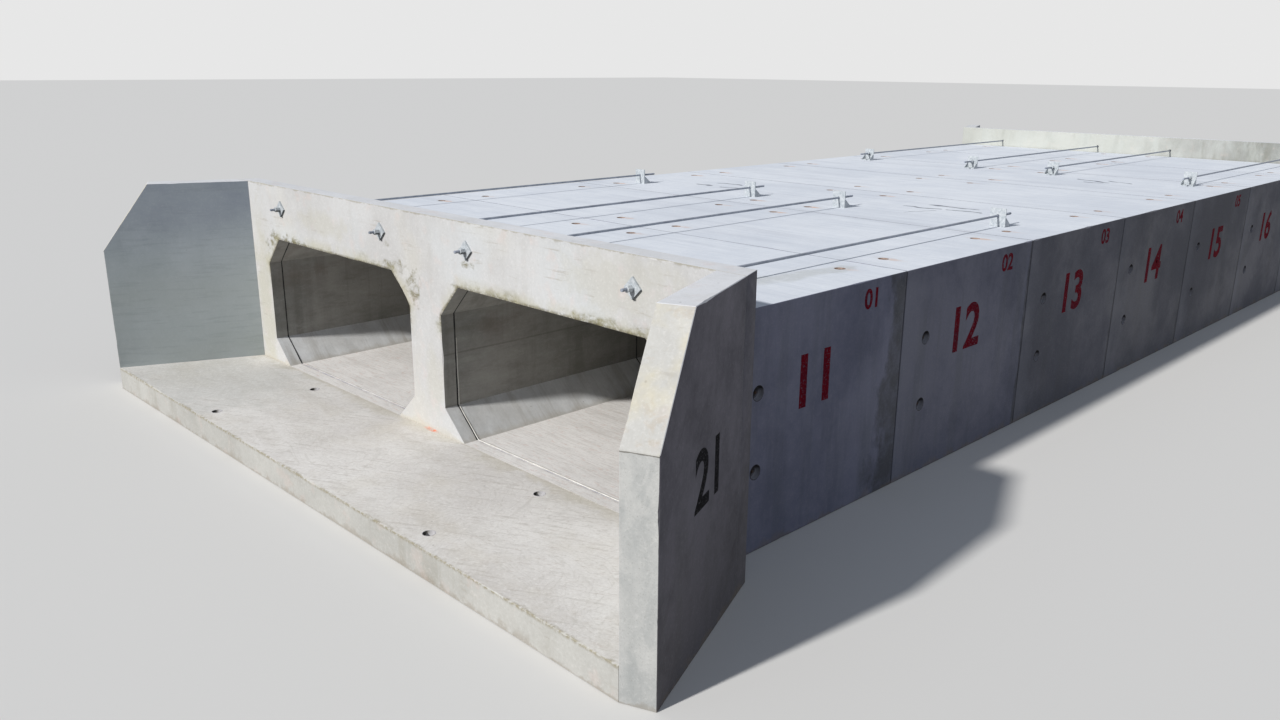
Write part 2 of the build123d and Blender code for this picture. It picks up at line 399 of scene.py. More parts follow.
@group("Around the opening", {"Place": VECTOR}, {"Distance": VALUE})
def around_opening(bench, place):
    x, y, z = bench.split(place)
    off_centre = bench.minus(bench.size(x), cell_centre)
    across = bench.minus(bench.size(off_centre), cell_span / 2)
    above = bench.minus(z, cell_top)
    under = bench.minus(invert, z)
    outline = bench.math("MAXIMUM", bench.math("MAXIMUM", across, above), under)
    for (width, height), upright in ((top_haunch, above), (bottom_haunch, under)):
        slant = (width ** 2 + height ** 2) ** 0.5
        part = bench.math("MULTIPLY_ADD", across, height / slant, width * height / slant)
        part = bench.math("MULTIPLY_ADD", upright, width / slant, part)
        outline = bench.math("MAXIMUM", outline, part)
    return [outline]


@group("By the joints", {"Place": VECTOR},
       {"Distance": VALUE, "Before": VALUE, "Number": VALUE, "Luck": VALUE})
def by_joint(bench, place):
    along = bench.minus(bench.split(place)[1], first_start - joint_gap / 2)
    number = bench.math("FLOOR", bench.math("DIVIDE", along, unit_pitch))
    distance = bench.math("PINGPONG", along, unit_pitch / 2)
    before = bench.math("FLOORED_MODULO", along, unit_pitch)
    luck = bench.node("ShaderNodeTexWhiteNoise", {"W": bench.math("ADD", number, LUCK_DRAW)},
                      noise_dimensions="1D")
    return [distance, before, number, luck["Value"]]


# %% [markdown]
# Two more groups draw a single mark at a given place: a blotch with a ragged outline, and a scratch
# from one point to another. A blotch is the distance from its centre, in shares of its size, made
# ragged by noise. A scratch is the distance from a line, which a slow shake bends a little.

# %% Effects for a single mark
@group("Ragged blotch", {"Place": VECTOR, "Centre": VECTOR, "Size": VECTOR, "Raggedness": VALUE,
                         "Grain": VALUE}, {"Share": VALUE})
def blotch(bench, place, centre, size, raggedness, grain):
    reach = bench.measure("LENGTH", bench.vector("DIVIDE", bench.vector("SUBTRACT", place, centre), size))
    rag = bench.minus(bench.noise(place, grain, 4.0, 0.65), 0.5)
    rag = bench.times(rag, bench.times(raggedness, 4.0))
    return [bench.fade(bench.math("ADD", reach, rag), 1.1, 0.35)]


@group("Scratch", {"Place": VECTOR, "Start": VECTOR, "Run": VECTOR, "Width": VALUE}, {"Share": VALUE})
def scratch(bench, place, start, run, width):
    shaken = bench.vector("ADD", place, bench.shake(place, 2.6, (0.30, 0.30, 0.0)))
    offset = bench.vector("SUBTRACT", shaken, start)
    along = bench.measure("DOT_PRODUCT", offset, run)
    part = bench.math("DIVIDE", along, bench.measure("DOT_PRODUCT", run, run))
    part = bench.node("ShaderNodeClamp", {"Value": part})[0]
    away = bench.measure("LENGTH", bench.vector("SUBTRACT", offset, bench.vector("MULTIPLY", run, part)))
    broken = bench.fade(bench.noise(place, 7.0, 3.0, 0.7), 0.36, 0.50, 0.60, 1.0)
    return [bench.times(bench.fade(away, width, bench.times(width, 0.4)), broken)]


def spot(face, centre, size, ragged, grain):
    """The share of one ragged blotch on a face."""
    return face.effect(blotch, Centre=centre, Size=size, Raggedness=ragged, Grain=grain)["Share"]


# %% [markdown]
# Each mark below is one thing that has happened to a face. It lays colours over what the face has so
# far, so a finish is a list of marks in the order in which they came. The front of a headwall
# has the most: olive stains that hang from the openings, cream patches, and a dirty rim.

# %% Marks on the headwall's front
# Places and half sizes are in metres: x, z, width, height, and for a patch its strength. A mark goes
# right through along Y, so it shows on both ends.
MARK_ALONG = 60.0
CORNER_STAINS = ((-3.12, 1.68, 0.20, 0.14), (-2.72, 1.78, 0.30, 0.06), (-0.52, 1.79, 0.34, 0.06),
                 (-0.20, 1.64, 0.16, 0.17), (0.62, 1.77, 0.30, 0.05), (2.45, 1.775, 0.40, 0.06),
                 (3.12, 1.62, 0.12, 0.16), (0.74, 1.985, 0.13, 0.030), (-0.60, 2.00, 0.07, 0.05))
CREAM_PATCHES = ((2.70, 2.10, 0.85, 0.32, 0.40), (-3.42, 1.05, 0.30, 1.15, 0.55),
                 (-3.45, 0.80, 0.24, 0.90, 0.55), (0.10, 0.70, 0.20, 0.45, 0.40),
                 (-1.90, 2.05, 0.60, 0.16, 0.45))


def stain_over_openings(face):
    """Olive and brown stains that follow the upper edges of both openings, thickest at the corners."""
    distance = face.effect(around_opening)["Distance"]
    high = face.fade(face.z, invert + 0.85, invert + 1.2)
    fine = face.fade(face.grain(11.0, 6.0, 0.70, 0.3, (0.8, 0.8, 1.3)), 0.38, 0.64)
    low_edge = face.fade(face.grain(2.1, 3.0, 0.6), 0.38, 0.68, 0.010, 0.14)
    near = face.times(face.fade(distance, low_edge, 0.0), high)
    face.lay(face.times(near, fine), 0.8, (112, 108, 80))
    for x, z, width, height in CORNER_STAINS:
        share = spot(face, (x, 0.0, z), (width, MARK_ALONG, height), 1.0, 7.0)
        face.lay(face.times(share, fine), 0.85, (112, 106, 76))
    halo = face.times(face.fade(distance, 0.15, 0.0), high)
    cloud = face.fade(face.grain(2.6, 4.0, 0.6), 0.36, 0.60)
    face.lay(face.times(halo, cloud), 0.50, (168, 162, 128))
    rim = face.times(face.fade(distance, 0.034, 0.004), high)
    dark = face.fade(face.grain(40.0, 3.0, 0.7), 0.36, 0.52)
    face.lay(face.times(rim, dark), 0.7, (88, 82, 62))


def cement_patches(face):
    """Yellow-cream patches and paler blue-grey ones, left by uneven drying."""
    face.lay(face.fade(face.grain(0.8, 3.0, 0.55, 0.6), 0.50, 0.70), 0.22, (200, 193, 172))
    moved = face.vector("ADD", face.place, (4.0, 9.0, 2.0))
    face.lay(face.fade(face.noise(moved, 0.75, 3.0, 0.5, 0.4), 0.50, 0.70), 0.45, (194, 199, 202))
    for x, z, width, height, strength in CREAM_PATCHES:
        share = spot(face, (x, 0.0, z), (width, MARK_ALONG, height), 0.5, 5.0)
        face.lay(share, strength, (182, 179, 166))


def rim_of_parapet(face):
    """The thin dirty line along the parapet's upper front edge."""
    reach = face.fade(face.grain(9.0, 4.0, 0.65), 0.38, 0.72, 0.004, 0.034)
    face.lay(face.fade(face.minus(parapet_top, face.z), reach, 0.0), 0.65, (132, 125, 102))


print("stained corners:", len(CORNER_STAINS), "cream patches:", len(CREAM_PATCHES))

# %% [markdown]
# The foot of the end structure and its apron get what water and work leave: dust, washed dirt along
# the wall, and a few flecks of marking paint. The trowel leaves wide swirls on the apron.

# %% Marks on any end casting and on the apron
paint_flecks = (0.02, inlet_face - 0.012, invert)
paint_flecks_size = (0.14, 0.028, 0.022)
worn_patch = (-3.1, inlet_face - 0.9, invert)
worn_patch_size = (1.6, 1.3, 1.0)


def scuffed(face):
    """Fine level scuffs and hairlines, with a pinkish bloom here and there."""
    pulled = face.grain(1.0, 5.0, 0.7, stretch=(2.6, 2.6, 30.0))
    patch = face.fade(face.grain(2.0, 3.0, 0.6), 0.45, 0.65)
    face.lay(face.times(face.fade(pulled, 0.56, 0.68), patch), 0.45, (150, 142, 128))
    face.lay(face.fade(face.grain(5.0, 4.0, 0.6), 0.55, 0.72), 0.25, (206, 186, 178))
    face.lay(face.fade(face.grain(70.0, 3.0, 0.7), 0.62, 0.72), 0.35, (146, 140, 126))


def dirt_at_foot(face):
    """Brown dust and splashes along the lowest edge."""
    ragged = face.fade(face.grain(6.0, 4.0, 0.65), 0.38, 0.72, 0.01, 0.13)
    face.lay(face.fade(face.z, ragged, 0.0), 0.40, (132, 118, 98))


def foot_of_headwall(face):
    """Washed-down dirt where the apron meets the headwall, and flecks of marking paint by the pier."""
    away = face.minus(face.size(face.y), -inlet_face)
    away = face.math("MAXIMUM", away, face.times(face.minus(face.z, invert), 3.0))
    reach = face.fade(face.grain(2.4, 4.0, 0.6), 0.40, 0.70, 0.03, 0.34)
    face.lay(face.fade(away, reach, 0.0), 0.40, (182, 174, 152))
    share = spot(face, paint_flecks, paint_flecks_size, 0.4, 20.0)
    flecks = face.fade(face.grain(65.0, 3.0, 0.7), 0.47, 0.53)
    face.lay(face.times(share, flecks), 0.9, (226, 112, 66))


def rim_of_apron(face):
    """The broken olive line along the apron's front edge."""
    reach = face.fade(face.grain(3.2, 4.0, 0.65), 0.40, 0.72, 0.004, 0.050)
    near = face.fade(face.minus(-apron_low.y, face.size(face.y)), reach, 0.0)
    near = face.times(near, face.fade(face.z, invert - 0.035, invert - 0.005))
    fine = face.fade(face.grain(30.0, 4.0, 0.7), 0.38, 0.58)
    face.lay(face.times(near, fine), 0.75, (134, 124, 94))


def trowelled(face):
    """Wide swirls left by a steel trowel, and short scratches."""
    bent = face.grain(1.1, 3.0, 0.5, 1.6)
    arcs = face.fade(face.math("PINGPONG", face.times(bent, 14.0), 0.5), 0.36, 0.5)
    face.lay(arcs, 0.20, (166, 162, 154))
    pulled = face.turned((0.0, 0.0, 1.0), -0.5, (2.0, 26.0, 1.0))
    short = face.turned((0.0, 0.0, 1.0), -0.5, (8.0, 60.0, 1.0))
    face.lay(face.fade(face.noise(pulled, 1.0, 4.0, 0.7), 0.54, 0.68), 0.36, (164, 157, 148))
    face.lay(face.fade(face.noise(short, 1.0, 3.0, 0.7), 0.58, 0.70), 0.40, (168, 150, 138))
    face.lay(face.fade(face.grain(1.3, 4.0, 0.6), 0.46, 0.70), 0.28, (196, 188, 172))
    face.lay(spot(face, worn_patch, worn_patch_size, 0.3, 3.0), 0.40, (172, 174, 170))


print("paint flecks at", [round(part, 3) for part in paint_flecks])

# %% [markdown]
# The wings and the backs of the headwalls were cast against other forms, so they differ: mottled
# noses with a hairline where the form was capped, damp blue-grey inner faces, smears of form oil
# outside, and lime wash on the backs. Their sloping tops are stained cream.

# %% Marks on the wings and backs
hairline_drop = 0.012
nose_top = max(
    nodes["inlet_wing_right"].data.vertices[corner].co.z
    for face in nodes["inlet_wing_right"].data.polygons if face.normal.y < -0.8 and abs(face.normal.z) < 0.3
    for corner in face.vertices
)


def mottled(face):
    """Grey mottling and sand specks where the form leaked."""
    face.lay(face.fade(face.grain(5.5, 5.0, 0.65, 0.4, (1.0, 1.0, 0.6)), 0.42, 0.66), 0.45, (152, 156, 156))
    face.lay(face.fade(face.grain(95.0, 3.0, 0.7), 0.56, 0.68), 0.40, (140, 138, 132))


def hairline(face):
    """The dark hairline under the wing's slope, where the form was capped."""
    wander = face.times(face.minus(face.grain(11.0, 3.0, 0.6), 0.5), 0.020)
    level = face.math("ADD", face.minus(face.z, nose_top - hairline_drop), wander)
    face.lay(face.fade(face.size(level), 0.007, 0.002), 0.75, (92, 86, 76))


def creamed(face):
    """Cream and faintly brown stains on the wings' sloping tops."""
    face.lay(face.fade(face.grain(2.4, 4.0, 0.6), 0.46, 0.66), 0.45, (206, 197, 168))
    face.lay(face.fade(face.grain(6.0, 5.0, 0.7, 0.4), 0.54, 0.68), 0.30, (176, 158, 134))


def washed(face):
    """Pale lime wash in clouds, most on the left, and dark runs down from the parapet's top."""
    face.lay(face.fade(face.x, 1.6, -0.6), 0.55, (206, 208, 200))
    pale = face.grain(1.2, 5.0, 0.65, 0.5, (1.5, 1.0, 0.6))
    face.lay(face.fade(pale, 0.46, 0.64), 0.40, (190, 194, 190))
    runs = face.grain(1.0, 5.0, 0.65, stretch=(3.4, 1.0, 0.9))
    face.lay(face.fade(runs, 0.50, 0.70), 0.16, (112, 112, 98))


def cured_damp(face):
    """Blue-grey near the top, where the form stayed damp, and greener with pale clouds below."""
    face.lay(face.fade(face.z, 1.45, 2.15), 0.60, (122, 130, 146))
    face.lay(face.fade(face.z, 0.75, 0.25), 0.40, (134, 138, 138))
    face.lay(face.fade(face.z, 1.70, 1.00), 0.45, (168, 174, 168))
    cloud = face.grain(1.1, 4.0, 0.6, stretch=(1.0, 1.0, 1.6))
    face.lay(face.fade(cloud, 0.36, 0.64), 0.25, (178, 186, 190))
    level = face.grain(1.0, 4.0, 0.7, stretch=(2.0, 2.0, 26.0))
    face.lay(face.fade(level, 0.52, 0.66), 0.22, (126, 134, 138))


def smeared(face):
    """Slanting dark smears of form oil, and a dark foot."""
    slant = face.turned((1.0, 0.0, 0.0), 0.7, (1.0, 2.4, 0.9))
    face.lay(face.fade(face.noise(slant, 1.7, 4.0, 0.6), 0.52, 0.68), 0.45, (84, 82, 88))
    face.lay(face.fade(face.z, 1.4, 0.1), 0.45, (78, 74, 70))


print("top of the wing's nose", round(nose_top, 3))

# %% [markdown]
# The units' long sides stand in the shade, and their colours are painted darker and bluer as painted
# shade. They differ a little in tone from one to the next, and damp hangs in dark bands beside the
# joints. The band at the first joint is by far the widest.

# %% Marks on the units' sides
def each_its_own(face):
    """A small change of tone from one unit to the next."""
    joint = face.effect(by_joint)
    face.lay(joint["Luck"], 0.30, (112, 114, 118))
    face.lay(face.fade(joint["Number"], -0.5, 2.4), 0.75, (91, 91, 92))
    edge = face.fade(face.grain(1.9, 3.0, 0.6), 0.3, 0.7, 0.25, 0.75)
    face.lay(face.fade(joint["Before"], edge, 0.0), 0.25, (152, 154, 164))
    stained = face.grain(1.0, 5.0, 0.7, stretch=(1.0, 3.2, 0.5))
    face.lay(face.fade(stained, 0.50, 0.70), 0.35, (94, 96, 108))


def damp_by_joints(face):
    """Dark damp bands that hang beside the joints: a wide one at the first, thin ones elsewhere."""
    joint = face.effect(by_joint)
    first = face.math("LESS_THAN", face.size(joint["Number"]), 0.5)
    edge = face.grain(2.4, 5.0, 0.65, stretch=(1.0, 1.0, 0.6))
    fallen = face.fade(face.z, roof_z, 0.2, 0.75, 1.25)
    width = face.times(face.math("MULTIPLY_ADD", first, 0.32, 0.05), fallen)
    width = face.times(width, face.fade(edge, 0.34, 0.66, 0.55, 1.45))
    band = face.fade(face.minus(unit_pitch, joint["Before"]), width, face.times(width, 0.45))
    worn = face.fade(face.grain(5.0, 4.0, 0.6), 0.30, 0.60, 0.6, 1.0)
    face.lay(face.times(band, worn), 0.85, (66, 69, 73))
    face.lay(face.fade(joint["Distance"], 0.016, 0.008), 0.5, (70, 72, 78))


print("joints with damp bands:", UNITS - 1)

# %% [markdown]
# The roof was broomed while it was wet, so it has fine lines across it. Since then loads have been
# dragged over it and scratched it, and the anchors in its lifting pockets have rusted. A dark spot
# over each pocket is partly rust and partly painted shade.

# %% Marks on the roof
# A scratch runs from one x, y to another, and the last number is its half width.
ROOF_SCRATCHES = ((1.17, -2.18, 1.65, -2.19, 0.034), (1.38, -1.92, 2.01, -1.84, 0.038),
                  (1.52, -2.74, 1.70, -2.36, 0.016), (1.76, -2.20, 2.17, -2.13, 0.038),
                  (-2.23, -2.40, -1.90, -2.42, 0.034), (-2.08, -2.05, -1.66, -2.05, 0.038),
                  (-1.70, -2.42, -1.52, -2.37, 0.030), (1.33, 2.72, 1.90, 2.55, 0.040),
                  (1.56, 2.39, 1.83, 2.43, 0.034), (1.78, 2.79, 2.17, 2.68, 0.034))
PALE_RUB = (2.93, -7.60, 3.07, -6.30, 0.16)
# Around each roof pocket: a pale smear, a rust smear, and a dark spot over the pocket that is rust and
# painted shade in the recess.
RUST_AND_SHADE_SPOTS = (((0.06, 0.02), (0.22, 0.09), (206, 192, 182), 0.30),
              ((0.085, 0.025), (0.10, 0.050), (208, 156, 120), 0.60),
              ((0.0, 0.0), (0.054, 0.050), (116, 94, 84), 0.75))
roof_pocket_inner = 0.44
roof_pocket_outer = 3.08
roof_pocket_end = 0.34


def broomed(face):
    """Fine lines from a broom drawn across the slab."""
    lines = face.grain(1.0, 4.0, 0.7, stretch=(0.9, 34.0, 1.0))
    face.lay(face.fade(lines, 0.44, 0.66), 0.22, (172, 178, 188))
    wide = face.grain(1.0, 4.0, 0.6, stretch=(0.22, 2.6, 1.0))
    face.lay(face.fade(wide, 0.48, 0.70), 0.25, (176, 180, 190))


def dragged_line(face, start_x, start_y, end_x, end_y, width):
    """The share of one mark from a point of the roof to another."""
    run = (end_x - start_x, end_y - start_y, 0.0)
    return face.effect(scratch, Start=(start_x, start_y, roof_z), Run=run, Width=width)["Share"]


def dragged(face):
    """Dark scratches where loads were dragged over the roof, and the lines of the joints."""
    for line in ROOF_SCRATCHES:
        face.lay(dragged_line(face, *line), 0.95, (74, 80, 94))
    face.lay(dragged_line(face, *PALE_RUB), 0.45, (172, 174, 170))
    face.lay(face.fade(face.effect(by_joint)["Distance"], 0.014, 0.008), 0.25, (150, 156, 166))


def rust_and_shade_by_pockets(face):
    """Rust at the lifting pockets of the roof: a dark spot that is rust and painted shade in the pocket, and
    a smear blown to one side.
    """
    row = face.math("GREATER_THAN", face.size(face.x), (roof_pocket_inner + roof_pocket_outer) / 2)
    column = face.math("MULTIPLY_ADD", row, roof_pocket_outer - roof_pocket_inner, roof_pocket_inner)
    across = face.minus(face.x, face.times(column, face.math("SIGN", face.x)))
    before = face.effect(by_joint)["Before"]
    late = face.math("GREATER_THAN", before, unit_pitch / 2)
    at = face.math("MULTIPLY_ADD", late, unit_length - 2 * roof_pocket_end, roof_pocket_end + joint_gap / 2)
    along = face.minus(before, at)
    chance = face.fade(face.grain(0.7, 1.0, 0.5), 0.40, 0.62, 0.25, 1.0)
    shaken = face.shake(face.place, 16.0, (0.10, 0.08, 0.0))
    for (shift_x, shift_y), (width, length), over, strength in RUST_AND_SHADE_SPOTS:
        part = face.join(face.minus(across, shift_x), face.minus(along, shift_y), 0.0)
        scaled = face.vector("DIVIDE", face.vector("ADD", part, shaken), (width, length, 1.0))
        share = face.fade(face.measure("LENGTH", scaled), 1.0, 0.5)
        face.lay(face.times(share, chance), strength, over)


print("scratches on the roof:", len(ROOF_SCRATCHES))

# %% [markdown]
# Inside the cells water has been through. The walls carry a form line and brown stains of old water,
# the haunches carry runs, and the floors are brushed, with a dark line at every joint. Walls and
# floors also darken deeper into the cells as painted shade, and the pockets get painted shade and a
# painted highlight.

# %% Marks inside the cells and in the pockets
form_line_height = invert + 0.80
form_line_drop = 0.01
floor_line_shifts = (-0.012, 0.030)


def form_line(face):
    """The level line where two panels of the cell's form met, brown stains of old water, and painted shade
    that deepens into the cell.
    """
    wave = face.times(face.grain(1.1, 2.0, 0.5), 0.02)
    level = face.minus(face.z, face.math("ADD", wave, form_line_height - form_line_drop))
    line = face.fade(face.size(level), 0.012, 0.003)
    face.lay(face.times(line, face.fade(face.size(face.x), 1.0, 0.5)), 0.32, (76, 72, 66))
    worn = face.grain(2.2, 5.0, 0.72, stretch=(1.0, 0.8, 3.6))
    face.lay(face.fade(worn, 0.48, 0.66), 0.35, (112, 110, 102))
    face.lay(face.fade(worn, 0.46, 0.34), 0.30, (176, 176, 170))
    brown = face.fade(face.grain(1.5, 4.0, 0.6), 0.46, 0.66)
    over = face.fade(face.z, form_line_height - 0.1, form_line_height + 0.3)
    face.lay(face.times(brown, over), 0.45, (116, 102, 92))
    # Painted shade: the wall grows darker deeper into the cell.
    face.lay(face.fade(face.size(face.y), -inlet_face, 5.5), 0.50, (98, 96, 88))


def run_down(face):
    """Runs of dirty water down the haunches, pale and dark, and brown silt along their foot."""
    runs = face.grain(1.0, 5.0, 0.7, stretch=(0.5, 5.0, 0.5))
    face.lay(face.fade(runs, 0.50, 0.66), 0.40, (158, 154, 146))
    face.lay(face.fade(runs, 0.46, 0.34), 0.25, (236, 236, 236))
    face.lay(face.fade(face.grain(1.9, 5.0, 0.65), 0.44, 0.66), 0.30, (172, 168, 160))
    silt = face.fade(face.z, face.fade(runs, 0.3, 0.7, invert + 0.02, invert + 0.09), invert)
    face.lay(silt, 0.40, (176, 166, 150))


def brushed_floor(face):
    """The cells' floors: short brush marks, pinkish flecks, a dark line on both sides of a joint, and
    painted shade that deepens into the cell.
    """
    lines = face.grain(1.0, 4.0, 0.7, stretch=(5.0, 60.0, 1.0))
    face.lay(face.fade(lines, 0.46, 0.66), 0.40, (182, 176, 170))
    before = face.effect(by_joint)["Before"]
    for shift in floor_line_shifts:
        away = face.size(face.minus(before, unit_pitch - tongue + shift))
        face.lay(face.fade(away, 0.008, 0.003), 0.5, (140, 136, 130))
    fleck = face.grain(1.0, 3.0, 0.7, stretch=(9.0, 30.0, 1.0))
    face.lay(face.fade(fleck, 0.56, 0.68), 0.45, (204, 180, 170))
    # Painted shade: the floor grows darker deeper into the cell.
    face.lay(face.fade(face.size(face.y), 8.0, 6.0), 0.30, (150, 146, 138))


def shade_and_highlight_in_pocket(face):
    """Painted shade where a pocket's inside faces down or away from the inlet, and a painted highlight where
    it faces up and towards it.
    """
    x, y, z = face.split(face.normal)
    aslant = face.times(face.minus(y, z), 0.7)
    # Painted highlight where the inside faces up and towards the inlet.
    face.lay(face.fade(aslant, -0.30, -0.60), 0.60, (176, 176, 184))
    # Near-black painted shade where the inside faces down or away from the inlet.
    face.lay(face.fade(aslant, -0.50, -0.05), 0.9, (18, 16, 20))


print("form line at", form_line_height)

# %% [markdown]
# One function makes every concrete finish, because the cast faces differ only in colour and in
# what has happened to them. It mixes two tones by the clouds, draws streaks over them, sinks the
# bug holes and darkens them with painted shade, and then lays the marks of that face. Bump carries
# the fine grain only, while the real edges and pockets are modelled. End castings are cream; the
# units' sides are painted a darker blue-grey as painted shade.

# %% Concrete
SALT = (0.92, 0.90, 0.87, 1.0)
HOLE_SHADE = (92, 88, 82)
holes_per_metre = 14.0
hole_depth = 1.6
concrete_relief = (0.2, 0.003)
finishes = {}


def concrete(name, light, dark, streak, seed, marks=(), scale=0.55, stretch=(5.0, 5.0, 0.35), drawn=0.35,
             hole_share=0.10, rough=(0.72, 0.92), speckle=0.14):
    """A concrete finish: two tones in clouds, streaks, bug holes, and the marks of that face."""
    face = Finish(name)
    tone = face.effect(clouds, Scale=scale, Seed=seed)["Tone"]
    face.start(tone, dark, light)
    face.lay(face.effect(streaks, Stretch=stretch, Seed=seed + 3.0)["Streak"], drawn, streak)
    hole = face.effect(holes, Density=holes_per_metre, Share=hole_share)["Hole"]
    # The bug holes are darkened as painted shade inside them.
    face.lay(hole, 0.40, HOLE_SHADE)
    for mark in marks:
        mark(face)
    salt = face.grain(42.0, 5.0, 0.75)
    face.colour = face.mix(face.times(face.fade(salt, 0.50, 0.68), speckle), face.colour, SALT)
    face.lay(face.fade(salt, 0.48, 0.32), speckle * 1.2, streak)
    height = face.math("MULTIPLY_ADD", face.grain(190.0, 2.0, 0.6), 0.35, face.grain(34.0, 3.0, 0.55))
    relief = face.relief(face.minus(height, face.times(hole, hole_depth)), *concrete_relief)
    roughness = face.fade(tone, 0.0, 1.0, rough[1], rough[0])
    finishes[name] = face.close(roughness, {"Normal": relief, "Specular IOR Level": 0.35})


print("cells for bug holes along a metre:", holes_per_metre)

# %% [markdown]
# Each cast face gets its colours here: the lighter tone, the darker one, the streaks, and then what
# has happened to it. Shaded and inner faces are smoother and have hardly any pale grains.

# %% Concrete finishes
concrete("end_cast_face", (198, 198, 198), (184, 183, 182), (170, 168, 162), 1.0, drawn=0.2,
         marks=(cement_patches, scuffed, stain_over_openings, rim_of_parapet, dirt_at_foot,
                foot_of_headwall))
concrete("end_top", (216, 217, 220), (200, 201, 203), (188, 187, 184), 5.0, (scuffed,), drawn=0.25)
concrete("wall_back_face", (164, 165, 161), (138, 140, 136), (116, 114, 102), 8.0, (scuffed, washed),
         drawn=0.4, speckle=0.05)
concrete("wing_slope", (196, 195, 191), (180, 179, 175), (170, 164, 150), 17.0, (scuffed, creamed),
         drawn=0.3)
concrete("wing_nose", (196, 196, 193), (180, 181, 179), (164, 166, 164), 19.0,
         (mottled, hairline, dirt_at_foot), drawn=0.4)
concrete("wing_inner_face", (171, 179, 184), (157, 166, 170), (140, 148, 152), 12.0,
         (cured_damp, dirt_at_foot), drawn=0.25, speckle=0.05, rough=(0.55, 0.8))
# The wings' outer faces are painted darker than the lit faces: painted shade for a side that stands away
# from the sun.
concrete("wing_outer_face", (122, 119, 128), (103, 101, 107), (88, 88, 90), 23.0,
         (smeared, dirt_at_foot), drawn=0.3, speckle=0.05, hole_share=0.08, rough=(0.6, 0.85))
# The units' sides are painted darker and bluer than the roof: painted shade for the side that stands away
# from the sun.
concrete("unit_side", (144, 146, 170), (122, 125, 148), (108, 112, 122), 34.0,
         (each_its_own, damp_by_joints, dirt_at_foot), drawn=0.4, speckle=0.05, hole_share=0.08,
         rough=(0.6, 0.85))
concrete("unit_roof", (222, 226, 232), (208, 213, 221), (190, 196, 206), 45.0,
         (broomed, dragged, rust_and_shade_by_pockets), drawn=0.3, stretch=(0.5, 7.0, 1.0), hole_share=0.04)
concrete("cell_wall", (160, 158, 153), (135, 135, 130), (104, 101, 94), 56.0, (form_line,),
         drawn=0.4, speckle=0.05, hole_share=0.25)
concrete("cell_haunch", (230, 231, 231), (208, 209, 209), (172, 172, 170), 61.0, (run_down,),
         drawn=0.3, hole_share=0.2)
concrete("cell_floor", (232, 229, 226), (216, 213, 210), (186, 180, 174), 67.0, (brushed_floor,),
         drawn=0.3, speckle=0.30, stretch=(0.5, 7.0, 1.0), hole_share=0.06)
concrete("apron_top", (222, 219, 215), (204, 200, 196), (176, 170, 158), 78.0,
         (trowelled, foot_of_headwall, rim_of_apron), drawn=0.3, speckle=0.30, stretch=(0.6, 3.0, 1.0),
         hole_share=0.06)
concrete("apron_front", (190, 189, 184), (172, 171, 166), (152, 148, 136), 82.0,
         (scuffed, rim_of_apron, dirt_at_foot))
# The side and apron pockets are darker than the faces around them: painted shade inside the recess.
concrete("side_pocket", (116, 115, 122), (84, 83, 88), (56, 55, 56), 91.0, (shade_and_highlight_in_pocket,),
         scale=9.0, speckle=0.05)
concrete("apron_pocket", (196, 192, 184), (150, 145, 134), (112, 104, 92), 95.0, (shade_and_highlight_in_pocket,),
         scale=9.0, speckle=0.05)
# The roof pockets are dark brown: rust, and painted shade inside the recess.
concrete("roof_pocket", (164, 144, 132), (118, 100, 90), (84, 70, 62), 98.0, scale=9.0, speckle=0.03)
print("concrete finishes:", len(finishes))

# %% [markdown]
# A cast arris is the first thing to chip. A modelled one is a perfect line, so each casting is a copy
# of its node with the exposed arrises taken off, cut into short steps, and nudged within the flat
# faces beside them. The big faces stay flat, because every nudge slides along them. Smooth noise
# at the corner's own place decides how much is missing, so each run breaks it the same way.

# %% Helpers for worn castings
chip_step = 0.030
thin_face = 0.026
spall_level = 0.36
spall_depth = 0.050
rim_level = 0.16
rim_depth = 0.060


def keep(piece):
    """Let a finished piece ride on the whole."""
    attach(piece, "root")
    return piece


def clean_copy(node):
    """The node's mesh with its doubles merged and its flat faces joined again."""
    work = bmesh.new()
    work.from_mesh(nodes[node].data)
    bmesh.ops.remove_doubles(work, verts=work.verts, dist=2e-5)
    bmesh.ops.dissolve_limit(work, angle_limit=radians(0.5), verts=work.verts[:], edges=work.edges[:])
    return work


def as_object(name, work, materials=()):
    """An object in the scene with the working geometry as its mesh."""
    mesh = bpy.data.meshes.new(name)
    work.to_mesh(mesh)
    work.free()
    for material in materials:
        mesh.materials.append(material)
    return add_object(name, mesh)


def ease(work, edges, offset, segments):
    """Bevel some edges by an offset."""
    bmesh.ops.bevel(work, geom=edges, offset=offset, offset_type="OFFSET", segments=segments,
                    profile=0.5, affect="EDGES", clamp_overlap=True)


def is_thin(face):
    """True for a chamfer or a bevel: a face much longer than it is wide."""
    longest = max(edge.calc_length() for edge in face.edges)
    return face.calc_area() / longest < thin_face


def on_rim(place):
    """True for a place on the upper edge of an opening, where the castings have chipped most."""
    return abs(place.x) < side_x - 0.1 and cell_top - 0.35 < place.z < cell_top + 0.05


def bite(place, arris):
    """How far an arris has worn back at a place, in metres."""
    wear = 0.4 * noise.noise(place * 8.0) + 0.4 * noise.noise(place * 29.0)
    level, depth = (rim_level, rim_depth) if on_rim(place) else (spall_level, spall_depth)
    ragged = 0.7 + 0.6 * noise.noise(place * 41.0)
    spall = max(0.0, noise.noise(place * 2.3) - level) * depth * ragged
    return max(0.0, arris * wear) + spall


def step_along(edge):
    """Cut an edge into short steps and return the new corners."""
    pieces = round(edge.calc_length() / chip_step)
    start = edge.verts[0]
    end = edge.verts[1]
    made = []
    for left in range(pieces, 1, -1):
        fresh, corner = bmesh.utils.edge_split(edge, start, 1 / left)
        edge = edge if end in edge.verts else fresh
        start = corner
        made.append(corner)
    return made


